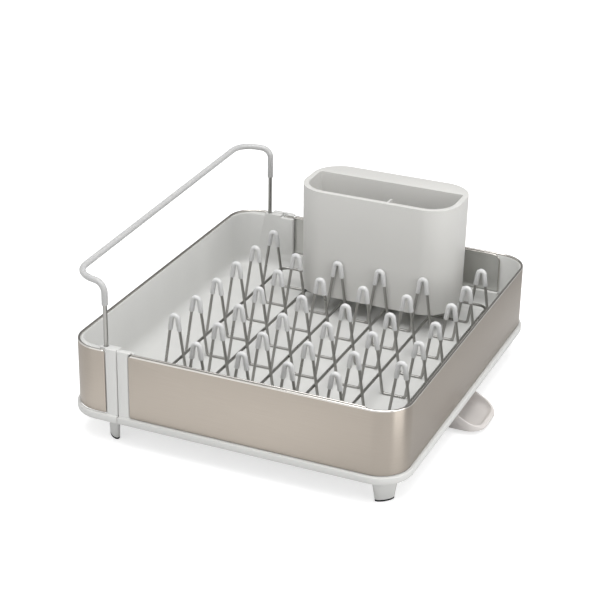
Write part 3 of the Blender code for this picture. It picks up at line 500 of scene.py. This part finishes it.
def soft_coating(name, shade):
    """Milky soft plastic that lets a little light through."""
    material = bpy.data.materials.get(name)
    if material is None:
        material = new_finish(name, shade, COATING_ROUGHNESS)
        clouds = add_noise(material, COATING_GRAINS)
        vary_colour(material, clouds, shade, contrast=0.02)
        vary_roughness(material, clouds, COATING_ROUGHNESS, reach=0.06)
        shader = material.node_tree.nodes["Principled BSDF"]
        shader.inputs["Subsurface Weight"].default_value = 0.25
        shader.inputs["Subsurface Radius"].default_value = LIGHT_DEPTH
        shader.inputs["Subsurface Scale"].default_value = 1.0
    return material


def sole_rubber(name, shade):
    """Dull rubber with a fine grain."""
    material = bpy.data.materials.get(name)
    if material is None:
        material = new_finish(name, shade, RUBBER_ROUGHNESS)
        material.node_tree.nodes["Principled BSDF"].inputs["Specular IOR Level"].default_value = 0.25
        grain = add_noise(material, RUBBER_GRAINS, detail=3.0)
        vary_colour(material, grain, shade, contrast=0.2)
        add_relief(material, grain, RUBBER_DEPTH)
    return material


# Pieces

def make_band(name, node, body, side):
    """A U of steel sheet, drawn in plan, extruded up, thickened and given a rolled rim."""
    sizes = bpy.context.scene.drainer_sizes
    low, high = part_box(node)
    end_x, face_x = (low.x, high.x) if side > 0 else (high.x, low.x)
    rim = sizes.rim_radius
    end_x += side * sizes.band_gap
    foot = low.z + sizes.band_gap
    corners = [(end_x, low.y, foot), (face_x, low.y, foot), (face_x, high.y, foot), (end_x, high.y, foot)]
    piece = draw_route(name, corners, [sizes.corner_radius] * 2, [sizes.corner_steps] * 2)
    bpy.ops.mesh.select_all(action="SELECT")
    extrude((0, 0, high.z - rim - foot))
    pick_vertices(piece, lambda place: abs(place.x - end_x) < TINY)
    bpy.ops.mesh.bevel(affect="VERTICES", offset=sizes.band_end_radius - rim, segments=sizes.end_steps)
    leave_edit()
    middle = (low + high) / 2
    face = max(piece.data.polygons, key=lambda item: item.area)
    if face.normal.dot(face.center - middle) < 0:
        enter_edit()
        bpy.ops.mesh.select_all(action="SELECT")
        bpy.ops.mesh.flip_normals()
        leave_edit()
    finish_with(piece, "SOLIDIFY", thickness=sizes.band_thickness, offset=-1, use_even_offset=True)
    soften(piece, sizes.rim_bevel)
    colours = bpy.context.scene.drainer_colours
    dress(piece, brushed_steel("brushed_band", colours.steel, BAND_ROUGHNESS, BRUSH_CONTRAST, round_z=True))
    edge = make_rim(name + "_rim", low, high, side)
    dress(edge, wire_steel("rolled_edge", colours.edge, EDGE_ROUGHNESS))
    join(piece, edge)
    smooth(piece)
    seat(piece, body, node)


def make_rim(name, low, high, side):
    """The round rim along a band's top, flush with its face and bent down at its two ends."""
    sizes = bpy.context.scene.drainer_sizes
    rim = sizes.rim_radius
    end_x, face_x = (low.x, high.x) if side > 0 else (high.x, low.x)
    end_x += side * (rim + sizes.band_gap)
    face_x -= side * rim
    front, back, top = low.y + rim, high.y - rim, high.z - rim
    end_z = high.z - 2 * sizes.band_end_radius
    corners = [(end_x, front, end_z), (end_x, front, top), (face_x, front, top),
               (face_x, back, top), (end_x, back, top), (end_x, back, end_z)]
    end_bend = sizes.band_end_radius - rim
    bends = [end_bend, sizes.corner_radius - rim, sizes.corner_radius - rim, end_bend]
    counts = [sizes.end_steps, sizes.corner_steps, sizes.corner_steps, sizes.end_steps]
    return round_wire(draw_route(name, corners, bends, counts), rim)


def make_panel(name, node):
    """A sheet with one rounded corner and a rolled edge along its top and end."""
    sizes = bpy.context.scene.drainer_sizes
    low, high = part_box(node)
    y = (low.y + high.y) / 2
    top = high.z - sizes.hem_radius
    end = high.x - sizes.hem_radius
    corners = [(low.x, y, low.z), (end, y, low.z), (end, y, top), (low.x, y, top), (low.x, y, low.z)]
    piece = draw_outline(name, corners, [0, sizes.panel_corner, 0], [1, sizes.panel_steps, 1])
    leave_edit()
    finish_with(piece, "SOLIDIFY", thickness=sizes.panel_thickness, offset=0)
    hem_path = [(low.x + sizes.hem_radius, y, top), (end, y, top), (end, y, low.z + sizes.panel_lap)]
    hem_line = draw_route(name + "_hem", hem_path, [sizes.panel_corner], [sizes.panel_steps])
    hem = round_wire(hem_line, sizes.hem_radius)
    colours = bpy.context.scene.drainer_colours
    dress(piece, brushed_steel("brushed_panel", colours.panel, PANEL_ROUGHNESS, PANEL_CONTRAST))
    dress(hem, wire_steel("rolled_edge", colours.edge, EDGE_ROUGHNESS))
    join(piece, hem)
    smooth(piece)
    seat(piece, "extension", node)


def tips_of_row(row):
    """The tips' solids on one cross wire, from left to right."""
    names = frame["record"]["behaviour"]["bodies"]["rack"]
    return sorted(name for name in names if name.startswith(f"prong_tip_{row}"))


def box_middle(node):
    """The middle of a solid's box."""
    low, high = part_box(node)
    return (low + high) / 2


def prong_shape(sizes):
    """A prong's lean, and the rise of its legs' meeting point over its top."""
    lean = math.atan2(sizes.prong_spread - sizes.prong_bend, sizes.prong_height - sizes.prong_bend)
    return lean, sizes.prong_bend / math.sin(lean) - sizes.prong_bend


def make_cross_wire(row):
    """One wire bent up into a prong under each tip of its row."""
    sizes = bpy.context.scene.drainer_sizes
    lean, over = prong_shape(sizes)
    node = f"cross_wire_{row}"
    y = box_middle(node).y
    corners = []
    for tip in tips_of_row(row):
        x = box_middle(tip).x
        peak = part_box(tip)[1].z - sizes.tip_radius
        foot = peak - sizes.prong_height
        out = (sizes.prong_height + over) * math.tan(lean)
        corners += [(x - out, y, foot), (x, y, peak + over), (x + out, y, foot)]
    inner = range(1, len(corners) - 1)
    radii = [sizes.prong_bend if index % 3 == 1 else sizes.foot_bend for index in inner]
    steps = [sizes.prong_steps if index % 3 == 1 else sizes.foot_steps for index in inner]
    wire = round_wire(draw_route(f"wire_row_{row}", corners, radii, steps), sizes.wire_radius)
    smooth(wire)
    return wire


def make_rack_frame():
    """The outer ring and the long wires, which end in it."""
    sizes = bpy.context.scene.drainer_sizes
    low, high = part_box("rack_frame")
    radius = sizes.wire_radius
    left, right = low.x + radius, high.x - radius
    reach = high.y - radius
    z = high.z - radius
    middle = (left + right) / 2
    corners = [(middle, -reach, z), (right, -reach, z), (right, reach, z), (left, reach, z),
               (left, -reach, z), (middle, -reach, z)]
    route = draw_route("wire_ring", corners, [sizes.ring_bend] * 4, [sizes.ring_steps] * 4)
    ring = round_wire(route, radius)
    columns = len(tips_of_row(FULL_ROW))
    wires = []
    for column in range(1, columns - 1):
        x = left + (right - left) * column / (columns - 1)
        wires.append(round_wire(draw_route("long_wire", [(x, -reach, z), (x, reach, z)], [], []), radius))
    join(ring, *wires)
    smooth(ring)
    return ring


def make_tip(node):
    """A soft sleeve bent over one prong's top."""
    sizes = bpy.context.scene.drainer_sizes
    lean, over = prong_shape(sizes)
    centre = box_middle(node)
    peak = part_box(node)[1].z - sizes.tip_radius
    drop = sizes.tip_length - sizes.tip_radius
    out = (drop + over) * math.tan(lean)
    corners = [(centre.x - out, centre.y, peak - drop), (centre.x, centre.y, peak + over),
               (centre.x + out, centre.y, peak - drop)]
    route = draw_route("soft_tip", corners, [sizes.prong_bend], [sizes.prong_steps])
    return round_sleeve(route, sizes.tip_radius, sizes.tip_wall)


def draw_pot_block(name, low, high, inset):
    """A block of the pot's outline, moved in all round and narrower at its foot."""
    sizes = bpy.context.scene.drainer_sizes
    middle = (low + high) / 2
    wide = (high.x - low.x) / 2 - inset
    foot = wide - sizes.pot_draft
    front, back = low.y + inset, high.y - inset
    left, right = middle.x - foot, middle.x + foot
    corners = [(middle.x, front, low.z), (right, front, low.z), (right, back, low.z),
               (left, back, low.z), (left, front, low.z), (middle.x, front, low.z)]
    block = draw_outline(name, corners, [sizes.pot_corner - inset] * 4, [sizes.pot_steps] * 4)
    extrude((0, 0, high.z - low.z))
    bpy.ops.transform.resize(value=(wide / foot, 1, 1), center_override=(middle.x, middle.y, high.z))
    return block


def make_pot_bore(low, high):
    """The pot's inside: the outline moved in by the wall and cut straight at the ledge."""
    sizes = bpy.context.scene.drainer_sizes
    rise = Vector((0, 0, sizes.pot_floor))
    bore = draw_pot_block("bore", low + rise, high + rise, sizes.pot_wall)
    bpy.ops.mesh.select_all(action="SELECT")
    bpy.ops.mesh.bisect(plane_co=(0, high.y - sizes.pot_ledge, 0), plane_no=(0, 1, 0), use_fill=True,
                        clear_outer=True)
    tidy_mesh()
    soften(bore, sizes.pot_bevel, segments=3)
    return bore


def make_back_hollow(low, high):
    """The room under the ledge, open to below."""
    sizes = bpy.context.scene.drainer_sizes
    front = high.y - sizes.pot_ledge + sizes.pot_wall
    back = high.y - sizes.pot_wall
    left, right = low.x + sizes.pot_corner, high.x - sizes.pot_corner
    z = low.z - sizes.pot_floor
    corners = [(left, front, z), (right, front, z), (right, back, z), (left, back, z), (left, front, z)]
    hollow = draw_outline("hollow", corners, [0] * 3, [1] * 3)
    extrude((0, 0, high.z - sizes.pot_wall - z))
    tidy_mesh()
    return hollow


def make_divider(low, high):
    """A thin wall, level with the rim at the front and lower towards the back.

    Its upper edge goes through points at shares of its length and of the pot's height.
    """
    sizes = bpy.context.scene.drainer_sizes
    middle = (low + high) / 2
    front = low.y + sizes.pot_wall / 2
    back = high.y - sizes.pot_ledge + sizes.pot_wall / 2
    bottom = low.z + sizes.pot_floor / 2
    span = back - front
    rise = high.z - low.z - sizes.divider_drop
    x = middle.x + sizes.divider_offset - sizes.divider / 2
    shares = ((1.0, 0.74), (0.72, 0.76), (0.40, 0.90), (0.26, 1.0), (0.0, 1.0))
    corners = [(x, front, bottom), (x, back, bottom)]
    corners += [(x, front + span * along, low.z + rise * up) for along, up in shares]
    corners.append(corners[0])
    bends = [0, 0, span / 6, span / 6, span / 10, 0]
    steps = [1, 1] + [sizes.divider_steps] * 3 + [1]
    fin = draw_outline("divider", corners, bends, steps)
    extrude((sizes.divider, 0, 0))
    tidy_mesh()
    return fin


def make_slots(low, high):
    """Rounded slots in a row, made once and repeated.

    Their ends' bends stop just short of meeting, so that a short straight run is left.
    """
    sizes = bpy.context.scene.drainer_sizes
    middle = (low + high) / 2
    reach = (high.x - low.x) / 2 - sizes.pot_corner
    back = high.y - sizes.pot_ledge - 2 * sizes.pot_wall
    half = sizes.slot_width / 2
    x = middle.x - reach
    corners = [(x, back - sizes.slot_length), (x + half, back - sizes.slot_length), (x + half, back),
               (x - half, back), (x - half, back - sizes.slot_length), (x, back - sizes.slot_length)]
    z = low.z - sizes.pot_floor
    bend = half - 10 * TINY
    slot = draw_outline("slot", [(x, y, z) for x, y in corners], [bend] * 4, [sizes.slot_steps] * 4)
    extrude((0, 0, 3 * sizes.pot_floor))
    tidy_mesh()
    finish_with(slot, "ARRAY", count=sizes.slots, use_relative_offset=False, use_constant_offset=True,
                constant_offset_displace=(2 * reach / (sizes.slots - 1), 0, 0))
    return slot


def make_pot():
    """The pot: a drafted block, bored, with a divider, a slotted base and a round rim."""
    sizes = bpy.context.scene.drainer_sizes
    low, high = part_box("cutlery_pot")
    pot = draw_pot_block("pot_body", low, high, 0)
    tidy_mesh()
    combine(pot, make_pot_bore(low, high), "DIFFERENCE")
    soften(pot, sizes.pot_bevel, segments=4)
    combine(pot, make_back_hollow(low, high), "DIFFERENCE")
    combine(pot, make_divider(low, high), "UNION")
    combine(pot, make_slots(low, high), "DIFFERENCE")
    smooth(pot, angle=30)
    dress(pot, moulded_plastic("satin_pot", bpy.context.scene.drainer_colours.pot, POT_ROUGHNESS))
    seat(pot, "pot", "cutlery_pot")


def rail_corners(foot_z):
    """The glass rail's corner points, from the front leg's foot to the back leg's."""
    sizes = bpy.context.scene.drainer_sizes
    low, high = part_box("rail_wire")
    radius = sizes.rail_radius
    leg_x, bar_x = high.x - radius, low.x + radius
    leg_y = high.y - radius
    bar_y = leg_y - sizes.rail_cut
    front = low.z + sizes.rail_height
    back = front + sizes.rail_back_rise
    return [(leg_x, -leg_y, foot_z), (leg_x, -leg_y, front),
            (bar_x, -bar_y, front + sizes.rail_outer_rise), (bar_x, bar_y, back + sizes.rail_outer_rise),
            (leg_x, leg_y, back), (leg_x, leg_y, foot_z)]


def draw_rail(name, foot_z):
    """The glass rail's bent line, with its legs' feet at a height."""
    sizes = bpy.context.scene.drainer_sizes
    bends = [sizes.rail_leg_bend, sizes.rail_bar_bend, sizes.rail_bar_bend, sizes.rail_leg_bend]
    return draw_route(name, rail_corners(foot_z), bends, [sizes.rail_steps] * len(bends))


# Stage

CAMERA_PLACE = (0.57445, -1.37470, 0.79210)
CAMERA_YAW = 23.4465        # degrees, to the left of straight ahead
CAMERA_TILT = 64.9158       # degrees up from straight down
CAMERA_ROLL = 0.9533        # degrees
CAMERA_LENS = 103.94        # millimetres
CAMERA_FRAME = 36           # width and height of its square frame, in millimetres
FLOOR_WIDTH = 12
FLOOR_ROUGHNESS = 0.9
FLOOR_SHADE = 0.62          # of its surface, and of its own glow where it is seen
FLOOR_FADES = (             # its glow in a mirror image: axis, span in metres, level at each end
    ("X", (-0.02, 0.13), (0.62, 0.28)),
    ("X", (-0.28, -0.17), (0.4, 1.0)),
    ("Y", (-0.22, -0.04), (1.0, 0.3)),
)
ROOM_LIGHT = 0.66           # strength of the white room where it lights
ROOM_FADE = ("Y", (0.1, 0.5), (1.0, 0.28))      # in a mirror image: darker towards the back
LAMPS = (                   # name, place, width and height, watts
    ("overhead", (0.1, -0.3, 1.9), (1.5, 1.5), 28.5),
    ("left", (-1.2, -1.7, 1.0), (1.1, 1.1), 2.6),
    ("right", (1.16, -0.30, 0.42), (0.75, 0.8), 4.8),
)


def make_floor():
    """A wide pale floor that shows white where no shadow falls.

    In a mirror image it is lighter at the front left and fades to the right and back.
    """
    bpy.ops.object.select_all(action="DESELECT")
    bpy.ops.mesh.primitive_plane_add(size=FLOOR_WIDTH)
    floor = bpy.context.object
    floor.name = "floor"
    material = new_finish("floor_paper", (FLOOR_SHADE,) * 3, FLOOR_ROUGHNESS)
    tree = material.node_tree
    nodes = tree.nodes
    links = tree.links
    place = nodes.new("ShaderNodeTexCoord")
    to_right, from_left, to_back = (new_fade(tree, place.outputs["Object"], *fade) for fade in FLOOR_FADES)
    mirrored = new_math(tree, "MULTIPLY", new_math(tree, "MULTIPLY", to_right, from_left), to_back)
    glow = nodes.new("ShaderNodeEmission")
    glow.inputs["Color"].default_value = (1, 1, 1, 1)
    links.new(seen_directly(tree, FLOOR_SHADE, mirrored), glow.inputs["Strength"])
    total = nodes.new("ShaderNodeAddShader")
    links.new(nodes["Principled BSDF"].outputs["BSDF"], total.inputs[0])
    links.new(glow.outputs["Emission"], total.inputs[1])
    links.new(total.outputs["Shader"], nodes["Material Output"].inputs["Surface"])
    floor.data.materials.append(material)


def seen_directly(tree, strength, mirrored=None):
    """A strength for rays from the camera or a mirror image, and zero for light itself.

    A mirror image can be given its own strength.
    """
    path = tree.nodes.new("ShaderNodeLightPath")
    mirror = new_math(tree, "MAXIMUM", path.outputs["Is Glossy Ray"], path.outputs["Is Transmission Ray"])
    in_mirror = new_math(tree, "MULTIPLY", mirror, strength if mirrored is None else mirrored)
    in_view = new_math(tree, "MULTIPLY", path.outputs["Is Camera Ray"], strength)
    return new_math(tree, "MAXIMUM", in_view, in_mirror)


def new_fade(tree, place, axis, span, levels):
    """A smooth change from one level to another along an axis."""
    axes = tree.nodes.new("ShaderNodeSeparateXYZ")
    fade = tree.nodes.new("ShaderNodeMapRange")
    fade.interpolation_type = "SMOOTHSTEP"
    fade.inputs["From Min"].default_value, fade.inputs["From Max"].default_value = span
    fade.inputs["To Min"].default_value, fade.inputs["To Max"].default_value = levels
    tree.links.new(place, axes.inputs["Vector"])
    tree.links.new(axes.outputs[axis], fade.inputs["Value"])
    return fade.outputs["Result"]


def new_math(tree, operation, *terms):
    """A math node of two terms, each a number or another node's output."""
    node = tree.nodes.new("ShaderNodeMath")
    node.operation = operation
    for socket, term in zip(node.inputs, terms):
        if isinstance(term, float):
            socket.default_value = term
        else:
            tree.links.new(term, socket)
    return node.outputs["Value"]


def make_world():
    """A white room: plain white where it is seen, dimmer where it lights.

    In a mirror image its back is darker, as in a studio that is lit from the front.
    """
    world = bpy.data.worlds.new("studio")
    bpy.context.scene.world = world
    world.use_nodes = True
    tree = world.node_tree
    place = tree.nodes.new("ShaderNodeTexCoord")
    to_back = new_fade(tree, place.outputs["Generated"], *ROOM_FADE)
    unseen = new_math(tree, "SUBTRACT", 1.0, seen_directly(tree, 1.0))
    light = new_math(tree, "MULTIPLY", unseen, ROOM_LIGHT)
    backdrop = tree.nodes["Background"]
    backdrop.inputs["Color"].default_value = (1, 1, 1, 1)
    total = new_math(tree, "ADD", light, seen_directly(tree, 1.0, to_back))
    tree.links.new(total, backdrop.inputs["Strength"])


def make_lamps():
    """Soft boxes: a large one overhead, one at the left and a tall strip at the right."""
    for name, place, size, power in LAMPS:
        bpy.ops.object.select_all(action="DESELECT")
        bpy.ops.object.light_add(type="AREA", location=place)
        lamp = bpy.context.object
        lamp.name = name + "_lamp"
        lamp.data.shape = "RECTANGLE"
        lamp.data.size, lamp.data.size_y = size
        lamp.data.energy = power
        lamp.rotation_euler = (-Vector(place)).to_track_quat("-Z", "Y").to_euler()


def make_camera():
    """The photograph's view."""
    bpy.ops.object.select_all(action="DESELECT")
    bpy.ops.object.camera_add(location=CAMERA_PLACE)
    camera = bpy.context.object
    turn = Matrix.Rotation(math.radians(CAMERA_YAW), 3, "Z")
    turn = turn @ Matrix.Rotation(math.radians(CAMERA_TILT), 3, "X")
    turn = turn @ Matrix.Rotation(math.radians(CAMERA_ROLL), 3, "Z")
    camera.rotation_euler = turn.to_euler()
    camera.data.lens = CAMERA_LENS
    camera.data.sensor_width = CAMERA_FRAME
    bpy.context.scene.camera = camera


# Operators

class DRAINER_OT_stage(Operator):
    """Set the pale floor, the soft light and the camera"""
    bl_idname = "drainer.stage"
    bl_label = "Stage"

    def execute(self, context):
        make_floor()
        make_world()
        make_lamps()
        make_camera()
        context.scene.view_settings.view_transform = "Standard"
        return {"FINISHED"}


class DRAINER_OT_bands(Operator):
    """Bend the two brushed steel bands"""
    bl_idname = "drainer.bands"
    bl_label = "Steel bands"

    def execute(self, context):
        make_band("right_band", "main_band", "base", 1)
        make_band("left_band", "extension_band", "extension", -1)
        return {"FINISHED"}


class DRAINER_OT_panels(Operator):
    """Make the two sliding steel panels"""
    bl_idname = "drainer.panels"
    bl_label = "Sliding panels"

    def execute(self, context):
        make_panel("panel_at_front", "front_panel")
        make_panel("panel_at_back", "back_panel")
        return {"FINISHED"}


class DRAINER_OT_trays(Operator):
    """Refine the two moulded trays"""
    bl_idname = "drainer.trays"
    bl_label = "Moulded trays"

    def execute(self, context):
        sizes = context.scene.drainer_sizes
        plastic = moulded_plastic("satin_tray", context.scene.drainer_colours.tray, TRAY_ROUGHNESS)
        for node, name, body in (("main_tray", "fixed_tray", "base"),
                                 ("extension_tray", "sliding_tray", "extension")):
            tray = refined_copy(node, name, sizes.mould_bevel)
            dress(tray, plastic)
            seat(tray, body, node)
        return {"FINISHED"}


class DRAINER_OT_rack(Operator):
    """Bend the plate rack's wires"""
    bl_idname = "drainer.rack"
    bl_label = "Plate rack"

    def execute(self, context):
        steel = wire_steel("rack_wire", context.scene.drainer_colours.wire)
        nodes = sorted(name for name in frame["nodes"] if name.startswith("cross_wire_"))
        first, model, *others, last = nodes
        ring = make_rack_frame()
        dress(ring, steel)
        seat(ring, "rack", "rack_frame")
        full = make_cross_wire(int(model[-1]))
        dress(full, steel)
        for node in others:
            step = box_middle(node) - box_middle(model)
            copied = copy_to(full, node.replace("cross_wire", "wire_row"), step)
            seat(copied, "rack", node)
        seat(full, "rack", model)
        for node in (first, last):
            short = make_cross_wire(int(node[-1]))
            dress(short, steel)
            seat(short, "rack", node)
        return {"FINISHED"}


class DRAINER_OT_tips(Operator):
    """Put a soft tip on each prong"""
    bl_idname = "drainer.tips"
    bl_label = "Soft tips"

    def execute(self, context):
        coating = soft_coating("soft_tip", context.scene.drainer_colours.coating)
        nodes = sorted(name for name in frame["nodes"] if name.startswith("prong_tip_"))
        first = make_tip(nodes[0])
        dress(first, coating)
        for node in nodes[1:]:
            step = box_middle(node) - box_middle(nodes[0])
            copied = copy_to(first, node.replace("prong", "soft"), step)
            seat(copied, "rack", node)
        first.name = nodes[0].replace("prong", "soft")
        seat(first, "rack", nodes[0])
        return {"FINISHED"}


class DRAINER_OT_pot(Operator):
    """Mould the cutlery pot"""
    bl_idname = "drainer.pot"
    bl_label = "Cutlery pot"

    def execute(self, context):
        make_pot()
        return {"FINISHED"}


class DRAINER_OT_rail(Operator):
    """Bend the glass rail and its coating"""
    bl_idname = "drainer.rail"
    bl_label = "Glass rail"

    def execute(self, context):
        sizes = context.scene.drainer_sizes
        colours = context.scene.drainer_colours
        wire = round_wire(draw_rail("rail_leg_wire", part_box("rail_wire")[0].z), sizes.rail_radius)
        smooth(wire)
        dress(wire, wire_steel("rail_steel", colours.wire))
        seat(wire, "rail", "rail_wire")
        coat_line = draw_rail("rail_coat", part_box("rail_sleeve")[0].z)
        coat = round_sleeve(coat_line, sizes.coat_radius, sizes.coat_wall)
        dress(coat, soft_coating("rail_coating", colours.rail))
        seat(coat, "rail", "rail_sleeve")
        return {"FINISHED"}


class DRAINER_OT_spout(Operator):
    """Refine the pull-out spout"""
    bl_idname = "drainer.spout"
    bl_label = "Spout"

    def execute(self, context):
        scoop = refined_copy("spout", "scoop", context.scene.drainer_sizes.mould_bevel)
        dress(scoop, moulded_plastic("satin_spout", context.scene.drainer_colours.spout, SPOUT_ROUGHNESS))
        seat(scoop, "spout", "spout")
        return {"FINISHED"}


class DRAINER_OT_soles(Operator):
    """Soften the rubber soles"""
    bl_idname = "drainer.soles"
    bl_label = "Rubber soles"

    def execute(self, context):
        rubber = sole_rubber("sole_rubber", context.scene.drainer_colours.rubber)
        for node in sorted(name for name in frame["nodes"] if "_pad_" in name):
            sole = refined_copy(node, node.replace("pad", "sole"), context.scene.drainer_sizes.rim_bevel)
            dress(sole, rubber)
            seat(sole, "base" if node.startswith("main") else "extension", node)
        return {"FINISHED"}


class DRAINER_PT_panel(Panel):
    """Lists the drainer's sizes, colours and pieces"""
    bl_idname = "DRAINER_PT_panel"
    bl_label = "Dish Drainer"
    bl_space_type = "VIEW_3D"
    bl_region_type = "UI"
    bl_category = "Drainer"

    def draw(self, context):
        for step in STEPS:
            self.layout.operator(step.bl_idname)
        for group in (context.scene.drainer_sizes, context.scene.drainer_colours):
            for name in group.bl_rna.properties.keys():
                if name not in ("rna_type", "name"):
                    self.layout.prop(group, name)


STEPS = (DRAINER_OT_stage, DRAINER_OT_bands, DRAINER_OT_panels, DRAINER_OT_trays, DRAINER_OT_rack,
         DRAINER_OT_tips, DRAINER_OT_pot, DRAINER_OT_rail, DRAINER_OT_spout, DRAINER_OT_soles)
CLASSES = (DrainerSizes, DrainerColours, *STEPS, DRAINER_PT_panel)


def register():
    for item in CLASSES:
        bpy.utils.register_class(item)
    bpy.types.Scene.drainer_sizes = PointerProperty(type=DrainerSizes)
    bpy.types.Scene.drainer_colours = PointerProperty(type=DrainerColours)


def unregister():
    del bpy.types.Scene.drainer_colours
    del bpy.types.Scene.drainer_sizes
    for item in reversed(CLASSES):
        bpy.utils.unregister_class(item)


def main():
    register()
    bpy.ops.drainer.stage()
    bpy.ops.drainer.bands()
    bpy.ops.drainer.panels()
    bpy.ops.drainer.trays()
    bpy.ops.drainer.rack()
    bpy.ops.drainer.tips()
    bpy.ops.drainer.pot()
    bpy.ops.drainer.rail()
    bpy.ops.drainer.spout()
    bpy.ops.drainer.soles()


if __name__ == "__main__":
    main()
